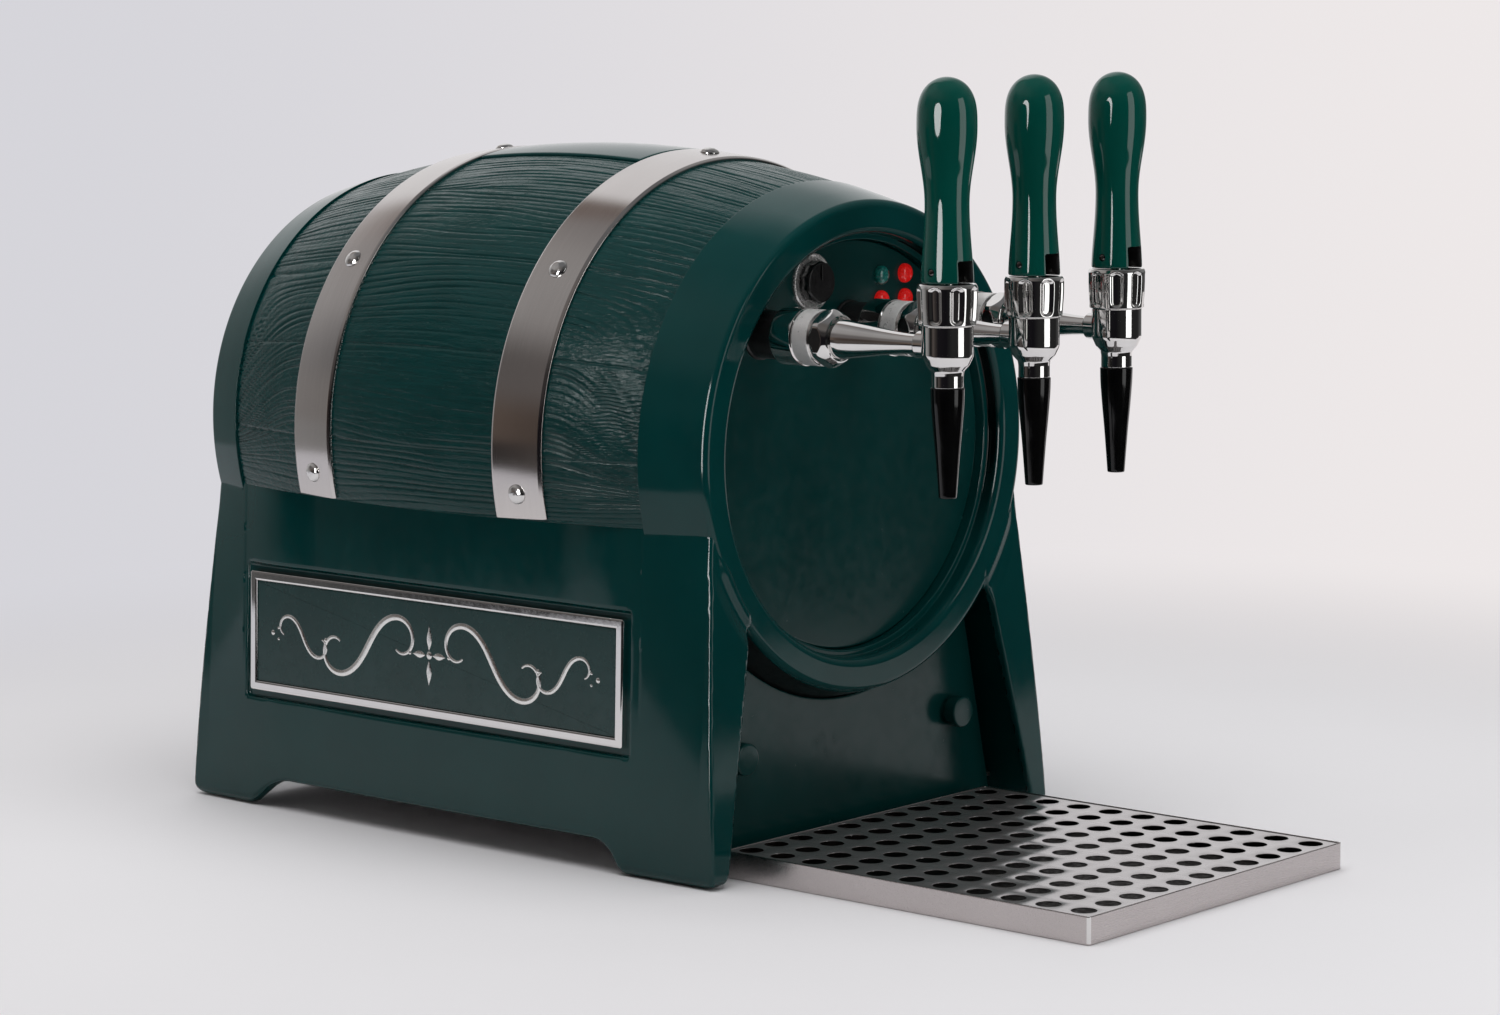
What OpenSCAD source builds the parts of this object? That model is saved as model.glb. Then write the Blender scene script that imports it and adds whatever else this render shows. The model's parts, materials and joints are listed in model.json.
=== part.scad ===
// Mulled wine dispenser: a barrel on a splayed base, with three lever taps,
// a heated water bath inside and a drip tray in front.
// Millimetres, +Z up, front towards -Y. Lengths along Y are given from the
// front ring's face and shifted so that the origin is under the middle.

/* [Barrel] */
// Height of the barrel axis above the table
axis_z = 249; // [247:0.5:251]
// Length from front ring to rear ring
barrel_len = 440; // [436:1:444]
// Radius at both ends
end_r = 150; // [149:0.5:151]
// Radius at the belly
belly_r = 181; // [180:0.5:182]
// Wall thickness of the shell
wall = 5; // [4:0.5:6]
// Inner edge radius of the two end rings
ring_in_r = 130.5; // [130:0.5:131]
// Depth of the front panel's face behind the front ring
panel_y = 17.5; // [17:0.5:18]

/* [Base] */
// Height of the crease between barrel and base
waist_z = 211; // [209:0.5:213]
// Half width of the base at the table
foot_w = 162; // [161:0.5:163]
// How far the front feet stand ahead of the front ring
front_rake = 13; // [12:0.5:14]
// How far the rear feet stand behind the rear ring
rear_rake = 15; // [14:0.5:15]
// How far the legs' tops stand behind the ring's face
leg_setback = 4; // [3:0.5:5]
// How much the sides lean inwards for each millimetre of height
side_lean = 0.026; // [0.02:0.002:0.03]
// Height of the arch between the feet
arch_h = 20; // [18:1:20]
// Setback of the lower front and rear panels
plinth_y = 22; // [21:0.5:23]

/* [Hoops and plates] */
// Front edge of the front hoop
hoop_1_y = 112; // [111:0.5:112]
// Front edge of the rear hoop
hoop_2_y = 294.5; // [294.5:0.5:296]
// Width of a hoop
hoop_w = 38.5; // [36:0.5:38.5]
// Thickness of a hoop
hoop_t = 1.5; // [1:0.25:2]
// Length of the side plate's frame
plate_l = 334; // [326:1:338]
// Height of the side plate's frame
plate_h = 78; // [74:1:80]
// Width of the frame's bars
plate_bar = 6; // [5:0.5:7]
// Lean of the side plate from upright
plate_lean = 2.1; // [1.8:0.1:2.4]

/* [Taps] */
// Distance between taps
tap_pitch = 81.8; // [80:0.2:83]
// Reach of a tap's upright axis ahead of the front ring
tap_reach = 125.4; // [123:0.2:128]
// Height of the shanks' axis
shank_z = 323; // [322.5:0.5:323.5]
// Top of the bonnet
bonnet_z = 359; // [359:0.5:359.5]
// Height of the lever handle
handle_h = 117.5; // [112:0.5:122]
// Lift of the valve for one radian of lever
valve_pitch = 16; // [15.6:0.1:17]

/* [Drip tray] */
// Half width of the tray
tray_w = 126.8; // [126:0.2:128]
// Front edge of the tray, ahead of the front ring
tray_front = 261; // [259:1:263]
// Height of the tray
tray_h = 16.5; // [16:0.5:18]
// Diameter of the grid's holes
hole_d = 14.8; // [13.8:0.2:15]

/* [Hidden] */
tray_back = 11;
y_shift = (tray_front - barrel_len - rear_rake) / 2;
taps = [-tap_pitch, 0, tap_pitch];
knob_x = -35.5;
knob_z = 351.5;
lamps = [[30.5, 352], [53.5, 352], [30.5, 336.5], [53.5, 336.5]];
inlet_z = 70;
rear_y = barrel_len - 18;
gap = 0.3;
pin_z = bonnet_z + gap + 6.5;
rivet_angles = [-7.2, 39, 90, 141, 187.2];
knob_screws = [-104, 104];
knob_screw_z = 68;
switch_x = -60;
gland_x = 60;
low_z = 190;
plate_y = 226.5;
plate_z = 116.5;
plate_x = 160.5;

green = [0.02, 0.16, 0.13];
bright_green = [0.02, 0.30, 0.24];
chrome = [0.8, 0.8, 0.82];
steel = [0.66, 0.66, 0.67];
black = [0.03, 0.03, 0.035];

// ---------- shared geometry ----------

function mix(a, b, t) = a + (b - a) * t;
function br(y) = belly_r - (belly_r - end_r) * pow((y - barrel_len / 2) / (barrel_len / 2), 2);
function slope(y) = atan(-2 * (belly_r - end_r) * (y - barrel_len / 2) / pow(barrel_len / 2, 2));
function skin(y0, y1, off, n = 20) = [for (i = [0:n]) let (y = mix(y0, y1, i / n)) [br(y) + off, y]];
function back(list) = [for (i = [len(list) - 1:-1:0]) list[i]];

module placed() translate([0, y_shift, 0]) children();
module along_y(x = 0, z = 0) translate([x, 0, z]) rotate([-90, 0, 0]) children();
// A turned piece about a line along Y; points are [radius, y]
module spin_y(pts, x = 0, z = axis_z, fn = 96) along_y(x, z) rotate_extrude($fn = fn) polygon(pts);
// A turned piece about an upright line; points are [radius, z]
module spin_z(pts, x = 0, y = 0, fn = 64) translate([x, y, 0]) rotate_extrude($fn = fn) polygon(pts);
module rod_y(r, y0, y1, x = 0, z = 0, fn = 48) along_y(x, z) translate([0, 0, y0]) cylinder(r = r, h = y1 - y0, $fn = fn);
module rod_x(r, x0, x1, y = 0, z = 0, fn = 48) translate([x0, y, z]) rotate([0, 90, 0]) cylinder(r = r, h = x1 - x0, $fn = fn);
module rod_z(r, z0, z1, x = 0, y = 0, fn = 48) translate([x, y, z0]) cylinder(r = r, h = z1 - z0, $fn = fn);
module block(x0, x1, y0, y1, z0, z1) translate([x0, y0, z0]) cube([x1 - x0, y1 - y0, z1 - z0]);
// Outline of [x, z] points carried along Y
module prism_y(y0, y1, pts) translate([0, y1, 0]) rotate([90, 0, 0]) linear_extrude(y1 - y0) polygon(pts);
// Outline of [y, z] points carried along X
module prism_x(x0, x1, pts) translate([x0, 0, 0]) rotate([90, 0, 90]) linear_extrude(x1 - x0) polygon(pts);

module drum(y0, y1, off) spin_y(concat([[0, y0]], skin(y0, y1, off), [[0, y1]]));
module barrel() spin_y(concat([[0, 0], [end_r - 6, 0], [end_r - 1.2, 2]], skin(6, barrel_len - 6, 0, 24),
    [[end_r - 1.2, barrel_len - 2], [end_r - 6, barrel_len], [0, barrel_len]]));

// ---------- housing ----------

function waist_w(y) = sqrt(pow(br(max(0, min(barrel_len, y))), 2) - pow(axis_z - waist_z, 2));
function floor_w(y) = foot_w + 3.6 * (1 - pow((y - barrel_len / 2) / (barrel_len / 2 + 12), 2));
function ease(a, b, y) = let (t = max(0, min(1, (y - a) / (b - a)))) t * t * (3 - 2 * t);
// Half width at the legs, drawn in towards the rings, and along the middle, where the side leans inwards
function leg_w(y, z) = let (b = pow(min(1, z / waist_z), 1.4)) b * (waist_w(y) - 0.6) + (1 - b) * floor_w(y);
function side_w(y, z) = floor_w(y) - side_lean * z;
function base_w(y, z) = mix(leg_w(y, z), side_w(y, z), ease(40, 115, y) * (1 - ease(330, 400, y)));
function front_at(z) = mix(-front_rake, leg_setback, min(1, z / waist_z));
function rear_at(z) = barrel_len + mix(rear_rake, -leg_setback, min(1, z / waist_z));
function side_pts(z, n = 14) = let (f = front_at(z), r = rear_at(z)) concat([[base_w(f, z) - 8, f]],
    [for (i = [0:n]) let (y = mix(f + 9, r - 9, i / n)) [base_w(y, z), y]], [[base_w(r, z) - 8, r]]);
module base_slab(z) translate([0, 0, z]) linear_extrude(0.05)
    polygon(concat(side_pts(z), back([for (p = side_pts(z)) [-p[0], p[1]]])));

module base_body() {
    hull() { base_slab(0); base_slab(110); }
    hull() { base_slab(110); base_slab(165); }
    hull() { base_slab(165); base_slab(waist_z + 2); }
}
// The gap between two legs, below an end ring
module leg_gap(y0, y1) difference() {
    prism_y(y0, y1, [[-148.5, -1], [148.5, -1], [112, 165], [-112, 165]]);
    barrel();
}
module on_sides() for (s = [0, 1]) mirror([s, 0, 0])
    translate([-plate_x, plate_y, plate_z]) rotate([0, plate_lean, 0]) children();

module housing() color(green) placed() difference() {
    union() {
        difference() {
            union() {
                // the barrel ends at the crease along its sides
                difference() {
                    barrel();
                    for (s = [-1, 1]) block(min(s * 150, s * 200), max(s * 150, s * 200), 70, barrel_len - 70, 0, waist_z);
                }
                base_body();
            }
            intersection() {
                drum(30, barrel_len - 30, -wall);
                block(-300, 300, 0, barrel_len, waist_z + wall, 600);
            }
            difference() {
                hull() {
                    block(-153, 153, 4 - front_rake, barrel_len + rear_rake - 4, -1, 0);
                    block(-141, 141, 9, barrel_len - 9, waist_z + wall, waist_z + wall + 1);
                }
                intersection() {
                    barrel();
                    union() { block(-200, 200, 0, 30, 0, 500); block(-200, 200, barrel_len - 30, barrel_len, 0, 500); }
                }
            }
        }
        // screw bosses for the chassis
        for (x = [-145, 145], y = [50, 390]) rod_z(8, 20.2, 60, x, y);
    }
    // sunk seats of the front panel and the rear cover
    spin_y([[0, -40], [end_r - 3, -40], [end_r - 3, 0], [ring_in_r, 0], [ring_in_r, 11.5], [126.6, 11.5], [126.6, panel_y + 4.1], [123, panel_y + 4.1], [123, 31], [0, 31]]);
    spin_y([[0, barrel_len + 40], [end_r - 3, barrel_len + 40], [end_r - 3, barrel_len], [ring_in_r, barrel_len], [ring_in_r, rear_y], [120, rear_y], [120, barrel_len - 31], [0, barrel_len - 31]]);
    leg_gap(-30, plinth_y + 3.1);
    leg_gap(barrel_len - plinth_y - 3.1, barrel_len + 40);
    // arch between the feet
    prism_x(-200, 200, [[61, -1], [61, 0], [75, arch_h], [371, arch_h], [398, 0], [398, -1]]);
    // shallow seats of the side plates
    on_sides() block(-30, 3.2, -plate_l / 2 - 5, plate_l / 2 + 5, -plate_h / 2 - 5, plate_h / 2 + 5);
    // opening and seat of the top lid
    block(-37, 37, 157, 288, 350, 460);
    difference() { block(-43, 43, 151, 294, 350, 460); drum(140, 302, -2.6); }
    // screw holes
    for (a = [30:60:330]) rod_y(2.45, rear_y - 11, rear_y + 1, 125.3 * cos(a), axis_z + 125.3 * sin(a));
    for (x = [-145, 145], y = [50, 390]) rod_z(2.45, 10, 42, x, y);
}

// ---------- panels and trim ----------

module front_panel() color(green) placed() difference() {
    spin_y([[0, panel_y], [126.3, panel_y], [126.3, panel_y + 4], [0, panel_y + 4]]);
    for (x = taps) rod_y(8.2, 0, 40, x, shank_z);
    rod_y(8.2, 0, 40, knob_x, knob_z);
    for (p = lamps) rod_y(4.2, 0, 40, p[0], p[1]);
}

function panel_pts() = [[-146.2, 6], [146.2, 6], [114.6, 150], [-114.6, 150]];
module plinth_panel() color(green) placed() difference() {
    prism_y(plinth_y, plinth_y + 3, panel_pts());
    rod_y(br(plinth_y + 3) + 0.4, 0, 60, 0, axis_z, 96);
    for (x = knob_screws) rod_y(3.1, 0, 60, x, knob_screw_z);
}
module plinth_knobs() color(green) placed() for (x = knob_screws)
    spin_y([[0, plinth_y - 12], [8.8, plinth_y - 12], [10, plinth_y - 10.8], [10, plinth_y - 3], [7, plinth_y - 3], [7, plinth_y],
        [3, plinth_y], [3, plinth_y + 12], [0, plinth_y + 12]], x, knob_screw_z, 64);

module rear_cover() color(black) placed() difference() {
    rod_y(130, rear_y + 0.1, rear_y + 3, 0, axis_z, 96);
    for (a = [30:60:330]) rod_y(2.6, 0, 500, 125.3 * cos(a), axis_z + 125.3 * sin(a));
    for (s = [-1, 1], i = [0:6]) translate([s * 48, rear_y, 284 + i * 11]) cube([62, 20, 5], center = true);
    block(switch_x - 9.5, switch_x + 9.5, 400, 500, low_z - 13.5, low_z + 13.5);
    rod_y(8, 0, 500, gland_x, low_z);
}
module rear_plinth_panel() color(green) placed() difference() {
    prism_y(barrel_len - plinth_y - 3, barrel_len - plinth_y, panel_pts());
    rod_y(br(plinth_y + 3) + 0.4, 300, 500, 0, axis_z, 96);
    for (x = taps) rod_y(7, 300, 500, x, inlet_z);
    for (x = knob_screws) rod_y(2.6, 300, 500, x, 40);
}
// One pan-head screw, head up, seated at z = 0
module screw(l = 16) rotate_extrude($fn = 32) polygon([[0, -l], [2.4, -l], [2.4, 0], [4.8, 0], [4.5, 1.8], [3.2, 2.9], [0, 3.2]]);
module case_screws() color(steel) placed() {
    for (a = [30:60:330]) translate([125.3 * cos(a), rear_y + 3, axis_z + 125.3 * sin(a)]) rotate([-90, 0, 0]) screw(11);
    for (x = knob_screws) translate([x, barrel_len - plinth_y, 40]) rotate([-90, 0, 0]) screw(11);
    for (x = [-145, 145], y = [50, 390]) translate([x, y, 18]) rotate([180, 0, 0]) screw(20);
}

module hoop(y0) color(steel) placed() difference() {
    spin_y(concat(skin(y0, y0 + hoop_w, 0.15, 6), back(skin(y0, y0 + hoop_w, 0.15 + hoop_t, 6))));
    block(-300, 300, y0 - 20, y0 + hoop_w + 20, -10, waist_z + 1);
    at_rivets(y0 + hoop_w / 2) translate([0, 0, -4]) cylinder(r = 2.05, h = 8, $fn = 32);
}
// Every rivet place on one hoop, with local Z out of the strap's face
module at_rivets(y) for (a = rivet_angles)
    translate([(br(y) + 0.15 + hoop_t) * cos(a), y, axis_z + (br(y) + 0.15 + hoop_t) * sin(a)])
        rotate([0, 90 - a, 0]) rotate([slope(y), 0, 0]) children();
module front_hoop() hoop(hoop_1_y);
module rear_hoop() hoop(hoop_2_y);
module hoop_rivets() color(chrome) placed() for (y = [hoop_1_y, hoop_2_y]) at_rivets(y + hoop_w / 2)
    translate([0, 0, 0.1]) rotate_extrude($fn = 32)
        polygon([[0, -1.4], [2, -1.4], [2, 0], [6.2, 0], [5.9, 1.1], [4.8, 2.2], [2.8, 3], [0, 3.2]]);

module side_plates() color(green) placed() on_sides()
    block(0, 2, -plate_l / 2 + plate_bar + 0.1, plate_l / 2 - plate_bar - 0.1, -plate_h / 2 + plate_bar + 0.1, plate_h / 2 - plate_bar - 0.1);
module plate_frames() color(chrome) placed() on_sides() difference() {
    block(-1, 3, -plate_l / 2, plate_l / 2, -plate_h / 2, plate_h / 2);
    block(-5, 9, -plate_l / 2 + plate_bar, plate_l / 2 - plate_bar, -plate_h / 2 + plate_bar, plate_h / 2 - plate_bar);
}
module top_lid() color(green) placed() difference() {
    intersection() { drum(140, 302, 0); block(-42.5, 42.5, 151.5, 293.5, 380, 460); }
    drum(135, 307, -2.2);
}

// ---------- controls ----------

module thermostat_bezel() color(chrome) placed()
    spin_y([[8.3, panel_y], [17.6, panel_y], [17.6, panel_y - 1.4], [16.6, panel_y - 2.4], [14.8, panel_y - 1.6], [8.3, panel_y - 1.6]], knob_x, knob_z, 64);
module thermostat_knob() color(black) placed() {
    spin_y([[0, 8.3], [11.6, 8.3], [12.9, 9.6], [13, panel_y - 2.4], [3, panel_y - 2.4], [3, panel_y + 30], [0, panel_y + 30]], knob_x, knob_z, 64);
    block(knob_x - 1.2, knob_x + 1.2, 7.4, 9, knob_z + 1, knob_z + 11);
}
module thermostat_body() color(steel) placed() difference() {
    union() {
        block(knob_x - 21, knob_x + 21, 32, 58, knob_z - 21, knob_z + 19);
        rod_y(8, panel_y, 33, knob_x, knob_z);
    }
    rod_y(3.05, 0, panel_y + 31, knob_x, knob_z);
}
module temperature_probe() color(chrome) placed() {
    rod_y(3.5, 66, 210, knob_x, 290);
    rod_y(1.2, 54, 67, knob_x, 290, 24);
    translate([knob_x, 54, 290]) sphere(r = 1.2, $fn = 24);
    rod_z(1.2, 290, knob_z - 21, knob_x, 54, 24);
}
module lens(p) spin_y([[0, panel_y - 4.6], [2.6, panel_y - 4.3], [4.6, panel_y - 3.1], [5.7, panel_y - 1.4], [6, panel_y], [0, panel_y]], p[0], p[1], 48);
module lamp_lens_green() color([0.05, 0.45, 0.42]) placed() lens(lamps[0]);
module lamp_lenses_red() color([0.75, 0.04, 0.04]) placed() for (i = [1:3]) lens(lamps[i]);
module lamp_holders() color(black) placed() for (p = lamps)
    spin_y([[0, panel_y], [4.1, panel_y], [4.1, panel_y + 4], [5.6, panel_y + 4], [5.6, panel_y + 7], [4.1, panel_y + 7], [4.1, panel_y + 22], [0, panel_y + 22]], p[0], p[1], 48);

// ---------- taps ----------

module tap_body(x) color(chrome) placed() difference() {
    union() {
        spin_z([[14.3, 335], [14.3, 317], [13.6, 314.2], [11.6, 311.2], [9.3, 308.6], [8.6, 306.8], [8.6, 299], [6.4, 299], [6.4, 287],
            [4.5, 287], [4.5, 311], [11, 313], [11, 335]], x, -tap_reach);
        difference() {
            rod_y(8, -tap_reach + 11.6, -105, x, shank_z);
            rod_z(11, 300, 340, x, -tap_reach);
        }
    }
    rod_y(5.7, -110.7, -100, x, shank_z);
    rod_y(3.5, -tap_reach, -100, x, shank_z);
}
module tap_bonnet(x) color(chrome) placed() difference() {
    spin_z([[15.2, 335.1], [17, 339.5], [17.7, 344], [17.7, 356], [17, 358], [15.4, bonnet_z], [4.05, bonnet_z], [4.05, 346], [11, 346], [11, 335.1]], x, -tap_reach);
    for (a = [22.5:45:360]) translate([x + 20.2 * cos(a), -tap_reach + 20.2 * sin(a), 0]) {
        rod_z(4.4, 330, 351, 0, 0, 32);
        translate([0, 0, 351]) sphere(r = 4.4, $fn = 32);
    }
}
module tap_spout(x) color(black) placed()
    spin_z([[9.3, 298.9], [9.1, 290], [7.2, 264], [5.7, 242], [5.2, 235], [3.6, 235], [4.4, 286.8], [6.45, 286.8], [6.45, 298.9]], x, -tap_reach);
module tap_shank(x) color(chrome) placed()
    spin_y([[5.6, -110.5], [5.6, -104], [6.3, -92], [7.8, -78], [10, -62], [11.6, -50], [11.8, -46.1], [8, -46.1], [8, 49.5], [3.5, 49.5], [3.5, -110.5]], x, shank_z, 64);
module tap_handle(x) color(bright_green) placed() translate([x, -tap_reach, bonnet_z + gap]) difference() {
    rotate_extrude($fn = 64) polygon(concat([[0, 0], [14.6, 0], [15.3, 0.7]],
        [for (t = [0.06:0.04:0.94]) [handle_r(t), t * handle_h]],
        [[13.4, 0.955 * handle_h], [9.6, 0.98 * handle_h], [5, 0.995 * handle_h], [0, handle_h]]));
    block(-4.65, 4.65, -30, 30, -1, 13);
    rod_x(2.02, -30, 30, 0, 6.5, 32);
}
// Radius of the lever handle at the share t of its height: waisted, then a bulb
function handle_r(t) = t < 0.38 ? mix(15.3, 13.3, pow(sin(90 * t / 0.38), 1.6))
    : t < 0.76 ? mix(13.3, 17.5, (1 - cos(180 * (t - 0.38) / 0.38)) / 2)
    : 17.5 * sqrt(1 - pow((t - 0.76) / 0.242, 3));
module lever_pin(x) color(steel) placed() rod_x(2, x - 14.9, x + 14.9, -tap_reach, pin_z, 32);
module valve_stem(x) color(steel) placed() difference() {
    union() {
        rod_z(4, 322, pin_z, x, -tap_reach);
        rod_z(2.5, 314.2, 322, x, -tap_reach, 32);
        rod_x(5, x - 4.2, x + 4.2, -tap_reach, pin_z);
    }
    rod_x(2.05, x - 30, x + 30, -tap_reach, pin_z, 32);
}
module seat_cup(x) color([0.75, 0.74, 0.7]) placed()
    spin_z([[0, 311.7], [5, 311.8], [9, 313.2], [9, 316], [6, 322], [2.55, 322], [2.55, 314], [0, 314]], x, -tap_reach);
module tap_collars() color(chrome) placed() for (x = taps)
    spin_y([[8.1, -3.1], [16.6, -3.1], [17.3, -3.9], [17.3, -20], [16.6, -20.6], [16.6, -33], [17.3, -33.6], [17.3, -41], [15.4, -44], [13.4, -46], [8.1, -46]], x, shank_z, 64);
module tap_sleeves() color(black) placed() for (x = taps)
    spin_y([[8.1, -3], [14.6, -3], [14.6, panel_y], [8.1, panel_y]], x, shank_z, 64);
module shank_nuts() color(steel) placed() for (x = taps) difference() {
    along_y(x, shank_z) translate([0, 0, panel_y + 4.05]) cylinder(r = 12, h = 7, $fn = 6);
    rod_y(8.1, 0, 60, x, shank_z);
}

// ---------- inside ----------

module chassis() color(steel) placed() difference() {
    union() {
        block(-151, 151, 26, barrel_len - 26, 18, 20);
        block(-130, 130, plinth_y + 3.1, plinth_y + 5.1, 18, 88);
        block(-130, 130, barrel_len - plinth_y - 5.1, barrel_len - plinth_y - 3.1, 18, 88);
        for (y = [150, 330]) block(-95, 95, y, y + 2, 20, 119.9);
    }
    for (x = knob_screws) { rod_y(3.1, 0, 60, x, knob_screw_z); rod_y(2.6, 380, 460, x, 40); }
    for (x = taps) rod_y(7.4, 320, 460, x, inlet_z);
    for (x = [-145, 145], y = [50, 390]) rod_z(2.6, 0, 60, x, y);
}
module tank_body() color(steel) placed() difference() {
    union() {
        block(-105, 105, 80, 370, 120, 345);
        block(-112, 112, 73, 377, 343.5, 345);
    }
    block(-103.5, 103.5, 81.5, 368.5, 121.5, 400);
    for (x = taps) { rod_y(4.1, 60, 100, x, shank_z); rod_z(4.1, 100, 130, x, 300); }
    rod_y(3.6, 60, 100, knob_x, 290);
    for (x = [-20, 20]) rod_y(5.1, 350, 400, x, 145);
}
module tank_lid() color(steel) placed() difference() {
    union() {
        block(-112, 112, 73, 377, 345.1, 346.6);
        rod_z(24, 346, 396, 0, 221);
    }
    rod_z(22.5, 300, 420, 0, 221);
}
module bend(x, y, z, a0, a1, r) translate([x, y, z]) rotate([0, 90, 0]) rotate([0, 0, a0])
    rotate_extrude(angle = a1 - a0, $fn = 48) translate([r, 0]) circle(r = 4, $fn = 24);
module coil(x) {
    rod_z(4, 112, 148, x, 300, 24);
    bend(x, 285, 148, 90, 180, 15);
    rod_y(4, 125, 285, x, 163, 24);
    for (z = [183, 263]) bend(x, 125, z, 180, 360, 20);
    for (z = [223, 303]) bend(x, 335, z, 0, 180, 20);
    for (z = [203, 243, 283]) rod_y(4, 125, 335, x, z, 24);
    rod_y(4, 49.7, 335, x, shank_z, 24);
}
module heating_coils() color(chrome) placed() for (x = taps) coil(x);
module heater_element() color([0.45, 0.44, 0.42]) placed() {
    for (x = [-20, 20]) rod_y(5, 150, 388, x, 145, 24);
    translate([0, 150, 145]) rotate([0, 0, 180]) rotate_extrude(angle = 180, $fn = 48) translate([20, 0]) circle(r = 5, $fn = 24);
    rod_y(34, 370.1, 376, 0, 145);
}
module feed_pumps() color(black) placed() for (x = taps) {
    rod_y(21, 195, 286, x, inlet_z);
    block(x - 23, x + 23, 285, 315, 47, 93);
    block(x - 18, x + 18, 205, 280, 20.1, 56);
}
module product_hoses() color([0.8, 0.8, 0.76]) placed() for (x = taps) {
    rod_y(7, 315.1, 403.9, x, inlet_z);
    rod_z(7, 93.1, 111.9, x, 300);
}
module inlet_fittings() color(steel) placed() for (x = taps)
    spin_y([[0, 404], [6.7, 404], [6.7, 418.1], [10, 418.1], [10, 424], [5, 424], [5, 444], [4.2, 446], [3, 446], [3, 410], [0, 410]], x, inlet_z, 48);
module cable_gland() color(black) placed() difference() {
    union() {
        along_y(gland_x, low_z) translate([0, 0, rear_y + 3.1]) cylinder(r = 12, h = 6, $fn = 6);
        spin_y([[0, 410], [7.9, 410], [7.9, rear_y + 4], [9.6, rear_y + 4], [9.6, rear_y + 13], [7, rear_y + 17], [0, rear_y + 17]], gland_x, low_z, 48);
        along_y(gland_x, low_z) translate([0, 0, rear_y - 5]) cylinder(r = 11.5, h = 4.9, $fn = 6);
    }
    rod_y(4, 300, 500, gland_x, low_z);
}
module switch_body() color(black) placed() difference() {
    union() {
        block(switch_x - 9.3, switch_x + 9.3, 404, rear_y + 4, low_z - 13.3, low_z + 13.3);
        block(switch_x - 12, switch_x + 12, rear_y + 3.1, rear_y + 5, low_z - 16, low_z + 16);
    }
    rod_x(10.3, switch_x - 8, switch_x + 8, rear_y + 2.5, low_z);
}
module switch_rocker() color([0.08, 0.08, 0.09]) placed() difference() {
    rod_x(10, switch_x - 7.6, switch_x + 7.6, rear_y + 2.5, low_z);
    translate([0, rear_y + 2.5, low_z]) rotate([-9, 0, 0]) {
        rotate([9, 0, 0]) block(switch_x - 20, switch_x + 20, 6, 20, 0, 20);
        rotate([-9, 0, 0]) block(switch_x - 20, switch_x + 20, 6, 20, -20, 0);
    }
}

// ---------- drip tray ----------

module drip_tray() color(steel) placed() {
    difference() {
        block(-tray_w, tray_w, -tray_front, tray_back, 0, tray_h);
        block(-tray_w + 1.2, tray_w - 1.2, -tray_front + 1.2, tray_back - 1.2, 1.2, 40);
    }
    difference() {
        block(-tray_w + 1, tray_w - 1, -tray_front + 1, tray_back - 1, 12.6, 13.8);
        block(-tray_w + 5, tray_w - 5, -tray_front + 5, tray_back - 5, 10, 20);
    }
}
module drip_grid() color(steel) placed() difference() {
    block(-tray_w + 1.6, tray_w - 1.6, -tray_front + 1.6, tray_back - 1.6, 14.1, 15.9);
    for (i = [-5:5], j = [0:10]) rod_z(hole_d / 2, 10, 20, i * 22.7, -247.5 + j * 24.75, 24);
}

housing();
front_panel();
plinth_panel();
plinth_knobs();
rear_cover();
rear_plinth_panel();
case_screws();
front_hoop();
rear_hoop();
hoop_rivets();
side_plates();
plate_frames();
top_lid();
thermostat_bezel();
thermostat_knob();
thermostat_body();
temperature_probe();
lamp_lens_green();
lamp_lenses_red();
lamp_holders();
tap_body(taps[0]);  // tap_body_1
tap_body(taps[1]);  // tap_body_2
tap_body(taps[2]);  // tap_body_3
tap_bonnet(taps[0]);  // tap_bonnet_1
tap_bonnet(taps[1]);  // tap_bonnet_2
tap_bonnet(taps[2]);  // tap_bonnet_3
tap_spout(taps[0]);  // tap_spout_1
tap_spout(taps[1]);  // tap_spout_2
tap_spout(taps[2]);  // tap_spout_3
tap_shank(taps[0]);  // tap_shank_1
tap_shank(taps[1]);  // tap_shank_2
tap_shank(taps[2]);  // tap_shank_3
tap_handle(taps[0]);  // tap_handle_1
tap_handle(taps[1]);  // tap_handle_2
tap_handle(taps[2]);  // tap_handle_3
lever_pin(taps[0]);  // lever_pin_1
lever_pin(taps[1]);  // lever_pin_2
lever_pin(taps[2]);  // lever_pin_3
valve_stem(taps[0]);  // valve_stem_1
valve_stem(taps[1]);  // valve_stem_2
valve_stem(taps[2]);  // valve_stem_3
seat_cup(taps[0]);  // seat_cup_1
seat_cup(taps[1]);  // seat_cup_2
seat_cup(taps[2]);  // seat_cup_3
tap_collars();
tap_sleeves();
shank_nuts();
chassis();
tank_body();
tank_lid();
heating_coils();
heater_element();
feed_pumps();
product_hoses();
inlet_fittings();
cable_gland();
switch_body();
switch_rocker();
drip_tray();
drip_grid();
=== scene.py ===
"""Looks of a mulled wine dispenser: a barrel on a splayed base, three lever taps, a drip tray.
Shapes below are in millimetres, with lengths along Y from the front ring's face."""
import json
import math

import bmesh
import bpy
import numpy as np
from mathutils import Matrix, Vector

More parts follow.
